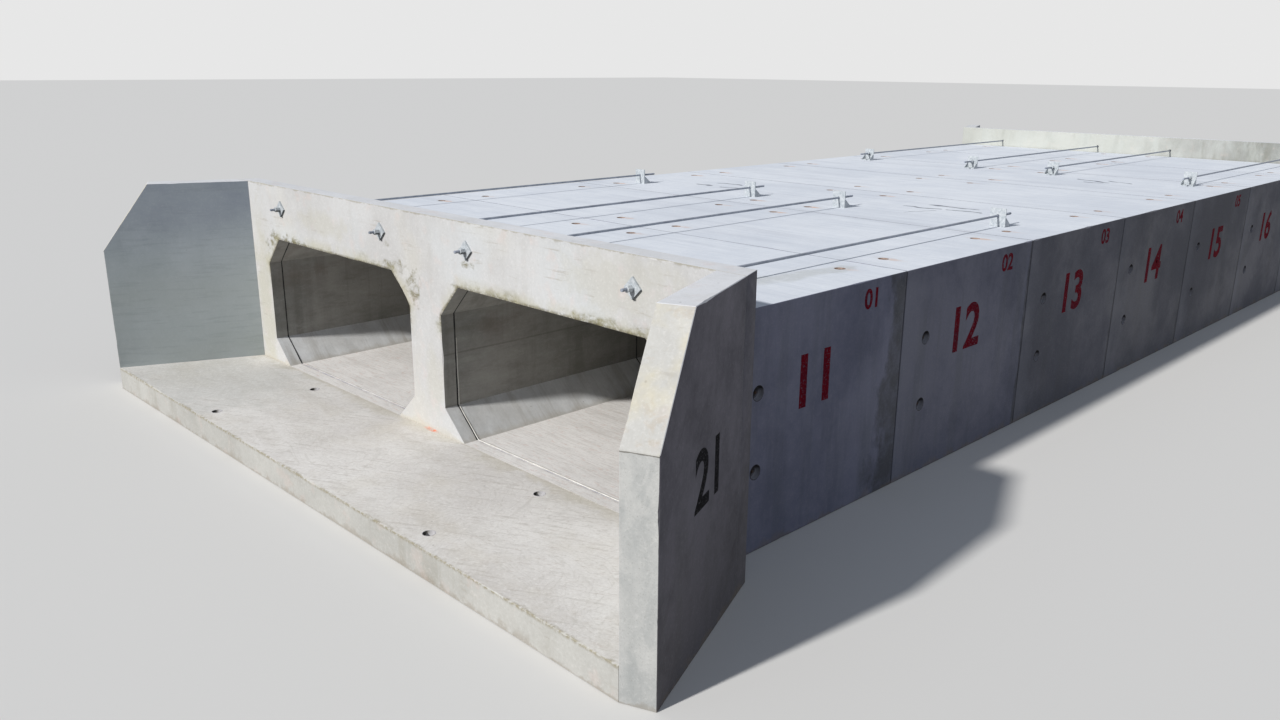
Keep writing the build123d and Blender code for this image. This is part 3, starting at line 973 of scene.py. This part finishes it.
print("a worn arris is cut into steps of", chip_step, "m")

# %% [markdown]
# A casting is worn in three steps. First the sharp arrises are found and bevelled once. Then each
# long edge between a flat face and its new chamfer is cut into steps and nudged. Last, every face
# gets its finish, and the piece takes the place of the frame's own.

# %% One worn casting
def sharp_edges(work, exposed):
    """The exposed outward arrises that are long enough to chip and aren't chamfers already."""
    sharp = []
    for edge in work.edges:
        middle = (edge.verts[0].co + edge.verts[1].co) / 2
        long = edge.calc_length() > 2 * chip_step
        if long and edge.is_manifold and edge.calc_face_angle_signed() > radians(30) and exposed(middle):
            if not any(is_thin(face) for face in edge.link_faces):
                sharp.append(edge)
    return sharp


def lips_of(work, exposed):
    """The long edges between a flat face and its chamfer, with the way into the flat face."""
    lips = []
    for face in work.faces:
        if is_thin(face):
            continue
        for loop in face.loops:
            beside = loop.link_loop_radial_next.face
            if loop.edge.calc_length() > 2 * chip_step and is_thin(beside) and exposed(loop.vert.co):
                run = (loop.link_loop_next.vert.co - loop.vert.co).normalized()
                lips.append((loop.edge, face.normal.cross(run)))
    return lips


def casting(name, node, arris, exposed, finish_of):
    """A worn copy of a concrete node, with a finish for each of its faces."""
    work = clean_copy(node)
    sharp = sharp_edges(work, exposed)
    if sharp:
        ease(work, sharp, arris, 1)
    work.normal_update()
    thin = [face for face in work.faces if is_thin(face)]
    lips = lips_of(work, exposed)
    for edge, inward in lips:
        for corner in step_along(edge):
            corner.co += inward * bite(corner.co, arris)
    bmesh.ops.triangulate(work, faces=[f for f in thin if f.is_valid], ngon_method="BEAUTY")
    bmesh.ops.triangulate(work, faces=[f for f in work.faces if len(f.verts) > 4])
    work.normal_update()
    names = sorted({finish_of(face.normal, face.calc_center_median()) for face in work.faces})
    for face in work.faces:
        face.material_index = names.index(finish_of(face.normal, face.calc_center_median()))
    piece = keep(as_object(name, work, [finishes[n] for n in names]))
    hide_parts(node)
    print(name, "faces", len(piece.data.polygons), "arrises", len(sharp), "lips", len(lips))


# %% [markdown]
# A casting has a different finish on each kind of face: against the form, trowelled, or in the cell.
# Which kind a face is follows from the way it looks and where it lies, so a small function for
# each casting reads the two and names the finish.

# %% Which finish a face has
def inside_cells(normal, place):
    """True for a face on the lining of a cell."""
    low_enough = invert - 0.01 < place.z < cell_top + 0.01
    return abs(place.x) < side_x - 0.2 and low_enough and abs(normal.y) < 0.5


def lining_finish(normal):
    """Floor, lower haunch, or wall of a cell."""
    if normal.z > 0.9:
        return "cell_floor"
    return "cell_haunch" if normal.z > 0.3 else "cell_wall"


def unit_finish(normal, place):
    if normal.z > 0.85 and place.z > roof_z - 0.02:
        return "unit_roof"
    return lining_finish(normal) if inside_cells(normal, place) else "unit_side"


def wall_finish(normal, place):
    if inside_cells(normal, place):
        return lining_finish(normal)
    if normal.z > 0.3 and abs(normal.y) < 0.4:
        return "end_top"
    if abs(normal.x) > 0.85:
        return "wing_outer_face"
    return "end_cast_face" if normal.y * place.y > 0 else "wall_back_face"


def wing_finish(normal, place):
    outward = normal.x * (1 if place.x > 0 else -1)
    ahead = normal.y * (1 if place.y > 0 else -1)
    if normal.z > 0.3:
        return "wing_slope" if ahead > 0.6 else "end_top"
    if outward > 0.8:
        return "wing_outer_face"
    return "wing_inner_face" if outward < -0.8 else "wing_nose"


def apron_finish(normal, place):
    return "apron_top" if normal.z > 0.85 else "apron_front"


print("the top of a unit gets", unit_finish(Vector((0, 0, 1)), Vector((0, 0, roof_z))))

# %% [markdown]
# Only the arrises that stand free are worn. Those between two units touch the next one, so they
# stay whole. With that settled, the fifteen castings are made by two loops.

# %% Castings
unit_arris = 0.0030
wall_arris = 0.0040
wing_arris = 0.0045
apron_arris = 0.0060


def on_unit_arris(place):
    return abs(place.x) > side_x - 0.02 or place.z > roof_z - 0.02


def on_wall_arris(place):
    opening = abs(place.x) < side_x - 0.1 and invert + 0.01 < place.z < cell_top + 0.05
    outside = abs(place.y) > abs(inlet_face) - 0.03
    top = place.z > parapet_top - 0.05
    back_edge = abs(place.x) > side_x + 0.1 and not outside
    return (opening and outside) or top or back_edge


def anywhere(place):
    return True


for number in range(1, UNITS + 1):
    node = f"box_unit_{number}"
    casting(f"{node}_cast", node, unit_arris, on_unit_arris, unit_finish)
for end in OUTWARD:
    casting(f"{end}_headwall_cast", f"{end}_headwall", wall_arris, on_wall_arris, wall_finish)
    casting(f"{end}_apron_cast", f"{end}_apron", apron_arris, anywhere, apron_finish)
    for side in SIDES:
        node = f"{end}_wing_{side}"
        casting(f"{node}_cast", node, wing_arris, anywhere, wing_finish)

# %% [markdown]
# Bolts, nuts, threads and pockets repeat, so Geometry Nodes set them out. One tree puts a piece on
# every point of a carrier mesh, turns it to face the way that the point says, and realizes the
# copies. The carrier is then thrown away, and only the plain mesh that it grew is kept.

# %% Geometry trees
def facing_turn(bench):
    """The turn that points a piece's Z the way that its carrier says."""
    aim = bench.node("GeometryNodeInputNamedAttribute", {"Name": "facing"}, data_type="FLOAT_VECTOR")[0]
    return bench.node("FunctionNodeAlignRotationToVector", {"Vector": aim}, axis="Z")[0]


def copies(bench, points, piece, turn):
    plugs = {"Points": points, "Instance": piece, "Rotation": turn}
    return bench.node("GeometryNodeInstanceOnPoints", plugs)[0]


def coated(bench, shape, finish):
    """The end of every tree: real geometry instead of instances, with its finish."""
    real = bench.node("GeometryNodeRealizeInstances", {"Geometry": shape})[0]
    return [bench.node("GeometryNodeSetMaterial", {"Geometry": real, "Material": finish})[0]]


@group("Spread pieces",
       {"Points": SHAPE, "Piece": OBJECT, "Twist": VALUE, "Seed": WHOLE, "Finish": MATERIAL},
       {"Pieces": SHAPE}, GEOMETRY)
def spread(bench, points, piece, twist, seed, finish):
    luck = bench.node("FunctionNodeRandomValue", {"Max": twist, "Seed": seed}, data_type="FLOAT")[1]
    spin = bench.node("FunctionNodeAxisAngleToRotation", {"Axis": (0.0, 0.0, 1.0), "Angle": luck})[0]
    both = {"Rotation": facing_turn(bench), "Rotate By": spin}
    turn = bench.node("FunctionNodeRotateRotation", both, rotation_space="LOCAL")[0]
    shape = bench.node("GeometryNodeObjectInfo", {"Object": piece})["Geometry"]
    return coated(bench, copies(bench, points, shape, turn), finish)


# %% [markdown]
# A tree only shows its result as long as a modifier carries it, and the export needs plain meshes. So
# the evaluated mesh is copied, the modifier is taken off, and the carrier is removed.

# %% Growing a piece
def frozen(holder, name):
    """The plain mesh that an object shows, as an object in its place."""
    bpy.context.view_layer.update()
    graph = bpy.context.evaluated_depsgraph_get()
    mesh = bpy.data.meshes.new_from_object(holder.evaluated_get(graph), depsgraph=graph)
    holder.modifiers.clear()
    bpy.data.objects.remove(holder)
    mesh.name = name
    return add_object(name, mesh)


def grown(name, carrier_mesh, tree, values):
    """The piece that a geometry tree grows on a carrier."""
    carrier = add_object(name + "_carrier", carrier_mesh)
    modifier = carrier.modifiers.new("grow", "NODES")
    modifier.node_group = tree
    for item in tree.interface.items_tree:
        if item.item_type == "SOCKET" and item.in_out == "INPUT" and item.name in values:
            modifier[item.identifier] = values[item.name]
    piece = keep(frozen(carrier, name))
    print(name, "faces", len(piece.data.polygons))
    return piece


def facing_points(name, places):
    """A carrier of loose points, each with the way that its piece faces."""
    carrier = bpy.data.meshes.new(name + "_points")
    carrier.from_pydata([place for place, way in places], [], [])
    ways = carrier.attributes.new("facing", "FLOAT_VECTOR", "POINT")
    for item, (place, way) in zip(ways.data, places):
        item.vector = way
    return carrier


def set_out(name, places, pattern, finish, twist=0.0, seed=0):
    """Copies of a pattern piece at (place, facing) pairs, as one piece."""
    values = {"Piece": pattern, "Twist": twist, "Seed": seed, "Finish": finish}
    print(name, "copies", len(places))
    return grown(name, facing_points(name, places), spread, values)


# %% [markdown]
# Bowls, washers and nuts are round, so they are turned, as on a lathe: a profile of radius and height
# is repeated around the axis and joined by faces. A point on the axis becomes a single corner.

# %% Turned solids
def turned_solid(name, sides, profile, radius_at=None):
    """A closed solid of revolution from a closed profile of (radius, height) pairs."""
    work = bmesh.new()
    rings = []
    for radius, height in profile:
        if radius == 0:
            rings.append([work.verts.new((0, 0, height))])
            continue
        ring = []
        for k in range(sides):
            angle = 2 * pi * k / sides
            r, h = radius_at(angle, radius, height) if radius_at else (radius, height)
            ring.append(work.verts.new((r * cos(angle), r * sin(angle), h)))
        rings.append(ring)
    closed = profile[0][0] > 0
    for lower, upper in zip(rings, rings[1:] + rings[:1] if closed else rings[1:]):
        for k in range(sides):
            after = (k + 1) % sides
            corners = [lower[k % len(lower)], lower[after % len(lower)],
                       upper[after % len(upper)], upper[k % len(upper)]]
            corners = [c for i, c in enumerate(corners) if c not in corners[:i]]
            if len(corners) > 2:
                work.faces.new(corners)
    bmesh.ops.recalc_face_normals(work, faces=work.faces)
    return as_object(name, work)


# %% [markdown]
# Steel here is hot-dip galvanised: bright zinc with a faint spangle of crystals, dulled in patches,
# and darkened underneath as painted shade. The bars are plain threaded steel, dark and blue-grey.
# Rubber seals and sealant are soft, with no shine. Each has its own small finish.

# %% Steel, rubber and sealant
def simple_finish(name, light, dark, metal, rough, scale, bump, bump_scale, under=None):
    """A finish of two tones in clouds, with roughness that follows them, and undersides darkened as painted
    shade when a colour for them is given.
    """
    face = Finish(name)
    tone = face.effect(clouds, Scale=scale, Seed=5.0)["Tone"]
    face.start(tone, dark, light)
    if under:
        # Painted shade: faces that look down take the darker colour.
        face.lay(face.fade(face.split(face.normal)[2], -0.25, -0.60), 0.85, under)
    relief = face.relief(face.grain(bump_scale, 3.0, 0.6), bump, 0.002)
    return face.close(face.fade(tone, 0.0, 1.0, *rough), {"Metallic": metal, "Normal": relief})


# The last colour given is the painted shade of the zinc's undersides.
galvanised = simple_finish("galvanised_zinc", (194, 198, 201), (160, 167, 172), 0.10, (0.42, 0.62), 26.0,
                           0.15, 90.0, (64, 70, 74))
bar_steel = simple_finish("bar_steel", (160, 166, 178), (122, 129, 142), 0.30, (0.40, 0.62), 9.0, 0.2, 240.0)
rusty_anchor = simple_finish("rusty_anchor", (72, 54, 44), (40, 34, 32), 0.1, (0.7, 0.9), 30.0, 0.5, 150.0)
seal_rubber = simple_finish("seal_rubber", (38, 38, 38), (20, 20, 20), 0.0, (0.55, 0.8), 12.0, 0.4, 80.0)
sealant = simple_finish("white_sealant", (232, 230, 224), (200, 196, 186), 0.0, (0.4, 0.6), 14.0, 0.3, 120.0)
grout = simple_finish("grout", (206, 210, 217), (188, 193, 201), 0.0, (0.8, 0.95), 5.0, 0.4, 70.0)
for end in OUTWARD:
    for number in RODS:
        nodes[f"{end}_tie_rod_{number}"].material_slots[0].material = bar_steel
nodes["joint_gaskets"].material_slots[0].material = seal_rubber
print("bars and gaskets shown as they are:", 2 * len(RODS) + 1, "nodes")

# %% [markdown]
# A lifting pocket is a bowl around the head of a cast-in anchor. The frame has a straight-sided hole
# for each. The bowl is a turned solid with a rim wide enough to cover the hole's corners, and
# the anchor is a small domed head that stands at its centre.

# %% Pocket linings and anchor heads
bowl_shape = ((0.35, 0.99), (0.60, 0.94), (0.78, 0.84), (0.90, 0.68), (0.96, 0.45), (0.99, 0.20), (1.0, 0.0))
pocket_sides = 28
head_sides = 16
side_pocket_radius = 0.060
roof_pocket_radius = 0.0475
apron_pocket_radius = 0.050
corner_cover = 1.036
pocket_depth = 0.046
roof_pocket_depth = 0.014
bowl_wall = 0.0015
bowl_skin = 0.0008
rim_over = 0.0018
rim_height = 0.0006
neck_radius = 0.007


def bowl(name, radius, depth):
    """A bowl with a thin rim, its mouth level with z = 0."""
    inner = radius - bowl_wall
    outer = radius * corner_cover + rim_over
    skin = inner + bowl_skin
    profile = [(0.0, -depth)]
    profile += [(inner * share, -depth * level) for share, level in bowl_shape]
    profile += [(inner + bowl_skin / 2, rim_height), (outer, rim_height), (outer, -rim_height),
                (skin, -2 * rim_height)]
    profile += [(skin * share, -bowl_wall - depth * level) for share, level in reversed(bowl_shape[:-1])]
    profile.append((0.0, -depth - bowl_wall))
    return turned_solid(name, pocket_sides, profile)


def anchor_head(name, top):
    """The domed head of a lifting anchor on its short neck."""
    foot = -pocket_depth - 0.001
    profile = [(0.0, foot), (neck_radius, foot), (neck_radius, top - 0.0105), (0.0125, top - 0.0085),
               (0.013, top - 0.0045), (0.010, top - 0.001), (0.0, top)]
    return turned_solid(name, head_sides, profile)


side_bowl = bowl("side_bowl", side_pocket_radius, pocket_depth)
roof_bowl = bowl("roof_bowl", roof_pocket_radius, roof_pocket_depth)
apron_bowl = bowl("apron_bowl", apron_pocket_radius, pocket_depth)
head = anchor_head("anchor_head", -0.0215)
roof_head = anchor_head("roof_anchor_head", -0.006)
print("faces of a lining", len(side_bowl.data.polygons), "and of a head", len(head.data.polygons))

# %% [markdown]
# The pockets sit where the units are lifted: two rows of four in each roof, one above the other in
# each side, and four in an apron. The places are worked out from the same sizes that the marks use,
# so the rust lies around the pockets.

# %% Setting out the pockets
side_pocket_back = 0.40
side_pocket_heights = (invert + 0.43, invert + 1.07)
apron_pocket_x = 1.95
apron_pocket_rows = (0.18, 0.22)
full_turn = 6.28
up = (0, 0, 1)

roof_places = []
side_places = []
for start in unit_starts:
    for x in (-roof_pocket_outer, -roof_pocket_inner, roof_pocket_inner, roof_pocket_outer):
        for y in (start + roof_pocket_end, start + unit_length - roof_pocket_end):
            roof_places.append(((x, y, roof_z), up))
    for way in (-1, 1):
        for z in side_pocket_heights:
            side_places.append(((way * side_x, start + side_pocket_back, z), (way, 0, 0)))
apron_places = []
for way in (1, -1):
    nose = way * apron_low.y
    for y in (nose + way * apron_pocket_rows[0], way * (inlet_face - apron_pocket_rows[1])):
        for x in (-apron_pocket_x, apron_pocket_x):
            apron_places.append(((x, y, invert), up))

set_out("roof_pocket_linings", roof_places, roof_bowl, finishes["roof_pocket"])
set_out("side_pocket_linings", side_places, side_bowl, finishes["side_pocket"])
set_out("apron_pocket_linings", apron_places, apron_bowl, finishes["apron_pocket"])
set_out("lifting_anchors", side_places + apron_places, head, rusty_anchor, full_turn)
set_out("roof_anchors", roof_places, roof_head, rusty_anchor, full_turn)
for pattern in (side_bowl, roof_bowl, apron_bowl, head, roof_head):
    bpy.data.objects.remove(pattern)

# %% [markdown]
# Seals squeeze out of joints as uneven beads. A bead follows a path, so its tree turns the carrier's
# edges into a curve, cuts it into even steps, lets noise swell and thin it, and sweeps a circle
# along it. The same tree makes the black seals in the cells and the white sealant over them.

# %% Beads along a path
BEAD = {"Step": 0.03, "Radius": 0.007, "Swell": 0.5, "Wander": 0.002, "Coarseness": 9.0, "Sides": 7}


@group("Bead",
       {"Path": SHAPE, "Step": VALUE, "Radius": VALUE, "Swell": VALUE, "Wander": VALUE, "Coarseness": VALUE,
        "Sides": WHOLE, "Finish": MATERIAL}, {"Bead": SHAPE}, GEOMETRY)
def bead(bench, path, step, radius, swell, wander, coarseness, sides, finish):
    curve = bench.node("GeometryNodeMeshToCurve", {"Mesh": path})[0]
    evenly = bench.node("GeometryNodeResampleCurve", {"Curve": curve, "Length": step}, mode="LENGTH")[0]
    here = bench.node("GeometryNodeInputPosition")[0]
    lumps = bench.times(bench.minus(bench.noise(here, coarseness, 3.0, 0.6), 0.5), 2.0)
    thickness = bench.times(bench.math("MULTIPLY_ADD", lumps, swell, 1.0), radius)
    thick = bench.node("GeometryNodeSetCurveRadius", {"Curve": evenly, "Radius": thickness})[0]
    sway = bench.shake(here, 5.0, wander)
    bent = bench.node("GeometryNodeSetPosition", {"Geometry": thick, "Offset": sway})[0]
    ring = bench.node("GeometryNodeCurvePrimitiveCircle", {"Resolution": sides, "Radius": 1.0})[0]
    own_radius = bench.node("GeometryNodeInputRadius")[0]
    sweep = {"Curve": bent, "Profile Curve": ring, "Scale": own_radius, "Fill Caps": True}
    return coated(bench, bench.node("GeometryNodeCurveToMesh", sweep)[0], finish)


def run_beads(name, paths, finish, slot, **values):
    """Beads along several open paths of points, as one piece."""
    points = []
    edges = []
    for path in paths:
        first = len(points)
        points += path
        edges += [(first + k, first + k + 1) for k in range(len(path) - 1)]
    carrier = bpy.data.meshes.new(name + "_paths")
    carrier.from_pydata(points, edges, [])
    print(name, "paths", len(paths))
    return grown(name, carrier, bead, {**BEAD, **values, "Finish": finish})


# %% [markdown]
# Each joint has a seal around both cells, except along the floor, where mortar fills it on both
# sides. The path is the cell's own outline, a little outside it, so the bead half sinks into it.

# %% Seals and mortar in the cells
seal_back = tongue + joint_gap / 2
seal_sunk = 0.003
mortar_sunk = 0.0062
mortar_shifts = (-0.004, 0.024)


def cell_path(side, y, outwards):
    """The corners of a cell's outline at a place along the culvert, a little outside it."""
    half = cell_span / 2 + outwards
    low = invert - outwards
    top = cell_top + outwards
    width, height = bottom_haunch
    over, rise = top_haunch
    corners = [(-half + width, low), (half - width, low), (half, low + height), (half, top - rise),
               (half - over, top), (-half + over, top), (-half, top - rise), (-half, low + height)]
    return [(side * cell_centre + x, y, z) for x, z in corners]


seal_lines = [start - seal_back for start in unit_starts] + [unit_starts[-1] + unit_pitch - seal_back]
seal_paths = []
floor_paths = []
for y in seal_lines:
    for side in (-1, 1):
        corners = cell_path(side, y, seal_sunk)
        seal_paths.append(corners[1:] + corners[:1])
        for shift in mortar_shifts:
            floor_paths.append([(corner[0], y + shift, invert - mortar_sunk) for corner in corners[:2]])
run_beads("cell_seals", seal_paths, seal_rubber, "joint_rubber", Radius=0.0085, Swell=0.6, Wander=0.006)
run_beads("floor_mortar", floor_paths, finishes["cell_floor"], "unit_concrete", Radius=0.0085, Swell=0.45,
          Wander=0.006)

# %% [markdown]
# On the roof the joints are filled almost level with grout. In the near cell, the first joint has
# been dressed with white sealant by hand: along the sill, over the haunch and partly up the wall.

# %% Sealant and grout
grout_inset = 0.012
grout_sunk = 0.0085
sealant_shift = 0.014
sealant_top = 0.95

grout_paths = []
for start in unit_starts[1:]:
    y = start - joint_gap / 2
    grout_paths.append([(way * (side_x - grout_inset), y, roof_z - grout_sunk) for way in (-1, 1)])
run_beads("roof_grout", grout_paths, grout, "unit_concrete", Radius=0.0076, Swell=0.12, Wander=0.001)
corners = cell_path(1, seal_lines[0] + sealant_shift, 0.0)
knee = corners[7]
white_paths = [[knee, corners[0]], [(knee[0], knee[1], invert + sealant_top), knee], corners[:2]]
run_beads("cell_sealant", white_paths, sealant, "end_concrete", Radius=0.0055, Swell=0.9, Wander=0.010)

# %% [markdown]
# The tie rods end in a coarse thread. It is a spiral wound around the bar, swept with a small
# triangle, and set out at each end of each bar.

# %% Threads on the tie rods
rod_radius = 0.0125
thread_end = 0.003
THREAD = {"Length": 0.30, "Pitch": 0.006, "Radius": rod_radius, "Depth": 0.0016}


@group("Thread",
       {"Points": SHAPE, "Length": VALUE, "Pitch": VALUE, "Radius": VALUE, "Depth": VALUE,
        "Finish": MATERIAL}, {"Threads": SHAPE}, GEOMETRY)
def thread(bench, points, length, pitch, radius, depth, finish):
    wire = {"Resolution": 12, "Rotations": bench.math("DIVIDE", length, pitch), "Height": length,
            "Start Radius": radius, "End Radius": radius}
    spiral = bench.node("GeometryNodeCurveSpiral", wire)[0]
    ridge = bench.node("GeometryNodeCurvePrimitiveCircle", {"Resolution": 3, "Radius": depth})[0]
    sweep = {"Curve": spiral, "Profile Curve": ridge, "Fill Caps": True}
    wound = bench.node("GeometryNodeCurveToMesh", sweep)[0]
    return coated(bench, copies(bench, points, wound, facing_turn(bench)), finish)


def outer_y(node, out):
    """The y of the side of a node that looks out of the culvert, at the end that `out` says."""
    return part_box(node)[0 if out < 0 else 1].y


def axis_of(node):
    """The x and z of the middle of a node's box."""
    low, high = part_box(node)
    return (low.x + high.x) / 2, (low.z + high.z) / 2


for end in OUTWARD:
    starts = []
    for rod in (f"{end}_tie_rod_{number}" for number in RODS):
        x, z = axis_of(rod)
        for way in (1, -1):
            starts.append(((x, outer_y(rod, -way) + way * thread_end, z), (0, way, 0)))
    carrier = facing_points("thread", starts)
    grown(f"{end}_rod_threads", carrier, thread, {**THREAD, "Finish": bar_steel})

# %% [markdown]
# A real nut is a hexagon whose corners are turned off to a cone at both faces. Its outline is found
# from the angle: the flats lie nearer than the corners, and the cone takes more off a corner.
# A washer sits under each nut and each bolt head.

# %% Patterns of nuts, bolt heads and washers
nut_flats = 0.048
nut_height = 0.055
nut_clearance = 0.0008
nut_sides = 36
bolt_flats = 0.030
bolt_height = 0.013
turned_off = 0.95
# The inner radius, outer radius and height of each washer.
rod_washer_size = (rod_radius + 0.0015, 0.031, 0.004)
bolt_washer_size = (0.008, 0.0185, 0.003)
washer_sides = 32


def nut_pattern(name, flats, top, bore, foot):
    """A nut from z = foot to z = top, or a bolt head when it has no bore."""
    height = top - foot
    apothem = flats / 2
    rim = turned_off * apothem

    def edge(angle, radius, level):
        if radius < apothem:
            return radius, level
        reach = apothem / cos((angle % (pi / 3)) - pi / 6)
        drop = max(0.0, (reach - rim) * tan(pi / 6))
        return reach, level + drop if level < height / 2 else level - drop

    rings = [(bore, 0), (rim, 0), (apothem, 0), (apothem, height), (rim, height), (bore, height)]
    pattern = turned_solid(name, nut_sides, rings, edge)
    pattern.data.transform(Matrix.Translation((0, 0, foot)))
    return pattern


def washer_pattern(name, inner, outer, height):
    edge = height / 4
    profile = [(inner, 0), (outer, 0), (outer, height - edge), (outer - edge, height), (inner, height)]
    return turned_solid(name, washer_sides, profile)


rod_nut = nut_pattern("rod_nut", nut_flats, nut_height, rod_radius + nut_clearance, rod_washer_size[2])
rod_washer = washer_pattern("rod_washer", *rod_washer_size)
bolt_head = nut_pattern("bolt_head", bolt_flats, bolt_height, 0, bolt_washer_size[2])
bolt_washer = washer_pattern("bolt_washer", *bolt_washer_size)
print("faces of a nut", len(rod_nut.data.polygons), "and of a washer", len(rod_washer.data.polygons))

# %% [markdown]
# A rod is tightened against the bearing plate outside the headwall and against the bracket on the
# roof, so each rod has two nuts. Two bolts hold the foot of each bracket, behind its upright.

# %% Setting out nuts and bolts
bracket_plate = 0.012
anchor_spread = 0.045
anchor_setback = 0.055

for end, out in OUTWARD.items():
    seats = []
    bolts = []
    for number in RODS:
        plate = f"{end}_bearing_plate_{number}"
        x, z = axis_of(plate)
        heel = outer_y(f"{end}_roof_bracket_{number}", out) - out * bracket_plate
        seats += [((x, outer_y(plate, out), z), (0, out, 0)), ((x, heel, z), (0, -out, 0))]
        for aside in (-anchor_spread, anchor_spread):
            bolts.append(((x + aside, heel - out * anchor_setback, roof_z + bracket_plate), up))
    nuts = set_out(f"{end}_nuts", seats, rod_nut, galvanised, twist=1.0, seed=3)
    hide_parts(f"{end}_rod_nuts")
    set_out(f"{end}_nut_washers", seats, rod_washer, galvanised)
    heads = set_out(f"{end}_bolt_heads", bolts, bolt_head, galvanised, twist=1.0, seed=5)
    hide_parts(f"{end}_anchor_bolts")
    set_out(f"{end}_bolt_washers", bolts, bolt_washer, galvanised)
for pattern in (rod_nut, rod_washer, bolt_head, bolt_washer):
    bpy.data.objects.remove(pattern)

# %% [markdown]
# Plates and brackets keep the frame's shape, with sheared edges eased by a bevel, so that they catch
# a thin line of light. Welds join each gusset to the upright plate and to the foot.

# %% Plates, brackets and welds
edge_ease = 0.0018
gusset = 0.010
gusset_height = 0.100
weld_gap = 0.004
weld_end = 0.01


def eased(node, finish):
    """A copy of a steel node with its edges eased."""
    work = clean_copy(node)
    sharp = [e for e in work.edges if e.is_manifold and e.calc_face_angle_signed() > radians(40)]
    ease(work, sharp, edge_ease, 2)
    bmesh.ops.recalc_face_normals(work, faces=work.faces)
    piece = keep(as_object(f"{node}_eased", work, [finish]))
    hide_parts(node)


weld_paths = []
foot_top = roof_z + bracket_plate
for end, out in OUTWARD.items():
    for number in RODS:
        bracket = f"{end}_roof_bracket_{number}"
        eased(f"{end}_bearing_plate_{number}", galvanised)
        eased(bracket, galvanised)
        low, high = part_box(bracket)
        heel = outer_y(bracket, out) - out * bracket_plate
        tail = outer_y(bracket, -out) + out * weld_end
        sides = (low.x + gusset, high.x - gusset)
        for x in sides:
            weld_paths.append([(x, heel, foot_top + weld_gap), (x, heel, roof_z + gusset_height)])
            weld_paths.append([(x, heel - out * weld_gap, foot_top), (x, tail, foot_top)])
        weld_paths.append([(x, heel, foot_top) for x in sides])
run_beads("bracket_welds", weld_paths, galvanised, "galvanised_steel", Step=0.006, Radius=0.0042,
          Swell=0.5, Wander=0.001, Coarseness=140.0, Sides=8)

# %% [markdown]
# Precast castings are numbered so that they are set down in order. The units carry 11 to 17 in red on
# both sides, with a small count in the corner, and the wing walls 21 to 24 in black. Text becomes a
# thin solid first and is then laid on its face, half a millimetre proud, with worn and speckled edges.

# %% Painted numbers
LETTER_SIZE = 1.38
LETTER_SPREAD = 0.035
paint_thickness = 0.0005


def sprayed(name, colour, thin_colour, seed):
    """Sprayed paint that has worn away in specks."""
    face = Finish(name)
    place = face.vector("ADD", face.place, (seed, seed, seed))
    tone = face.fade(face.noise(place, 7.0, 3.0, 0.6), 0.35, 0.65)
    worn = face.fade(face.noise(place, 85.0, 3.0, 0.7), 0.34, 0.44)
    face.start(tone, colour, thin_colour)
    return face.close(0.85, {"Alpha": worn, "Specular IOR Level": 0.10})


def numeral(name, text, height, centre, along, outward, finish):
    """A numeral laid flat on a face, centred on a place, reading along a direction."""
    curve = bpy.data.curves.new(name, "FONT")
    curve.body = text
    curve.size = height * LETTER_SIZE
    curve.align_x = "CENTER"
    curve.align_y = "CENTER"
    curve.offset = height * LETTER_SPREAD
    curve.extrude = paint_thickness
    curve.resolution_u = 6
    piece = frozen(add_object(name + "_text", curve), name)
    turn = Matrix((along, outward.cross(along), outward)).transposed().to_4x4()
    piece.data.transform(Matrix.Translation(centre) @ turn)
    piece.data.materials.clear()
    piece.data.materials.append(finish)
    return keep(piece)


red_paint = sprayed("red_paint", (124, 12, 32), (106, 16, 36), 2.0)
black_paint = sprayed("black_paint", (7, 7, 10), (16, 16, 20), 7.0)
print("paints:", red_paint.name, black_paint.name)

# %% [markdown]
# Each side of a unit has a large number near its middle and a small count above it, to its right. A
# number reads along Y, one way on the right side and the other way on the left.

# %% Numbers on the units
large_number = 0.44
large_number_shift = -0.08
large_number_height = 1.02
small_number = 0.17
small_number_shift = 0.68
small_number_height = 1.57

for number, start in enumerate(unit_starts, 1):
    for side, way in SIDES.items():
        for kind, text, size, shift, height in (
                ("number", str(10 + number), large_number, large_number_shift, large_number_height),
                ("small_number", f"{number:02d}", small_number, way * small_number_shift,
                 small_number_height)):
            place = Vector((way * side_x, start + unit_length / 2 + shift, invert + height))
            numeral(f"unit_{number}_{kind}_{side}", text, size, place, Vector((0, way, 0)),
                    Vector((way, 0, 0)), red_paint)
print("numbered units:", len(unit_starts))

# %% [markdown]
# A wing's outer face is turned by the splay, so its own normal gives the directions for its number.
# The number stands a little off the middle of the face, towards the free end of the wing.

# %% Numbers on the wings
wing_number = 0.40
wing_number_shift = 0.10
wing_number_height = 0.95
upward = Vector(up)

wings = [(end, side) for end in OUTWARD for side in SIDES]
for number, (end, side) in enumerate(wings, 1):
    mesh = nodes[f"{end}_wing_{side}"].data
    outer = [face for face in mesh.polygons if face.normal.x * face.center.x > 0.8 * side_x]
    widest = max(outer, key=lambda face: face.area)
    out = Vector(widest.normal)
    read = upward.cross(out)
    level = out.dot(widest.center)
    reach = [read.dot(v.co) for v in mesh.vertices if abs(out.dot(v.co) - level) < 1e-4]
    aside = -wing_number_shift if read.y * widest.center.y > 0 else wing_number_shift
    centre = out * level + read * ((min(reach) + max(reach)) / 2 + aside)
    centre += upward * (invert + wing_number_height)
    numeral(f"{end}_wing_{side}_number", str(20 + number), wing_number, centre, read, out, black_paint)
    print(end, side, "wing number at", [round(c, 3) for c in centre], "facing", [round(c, 3) for c in out])
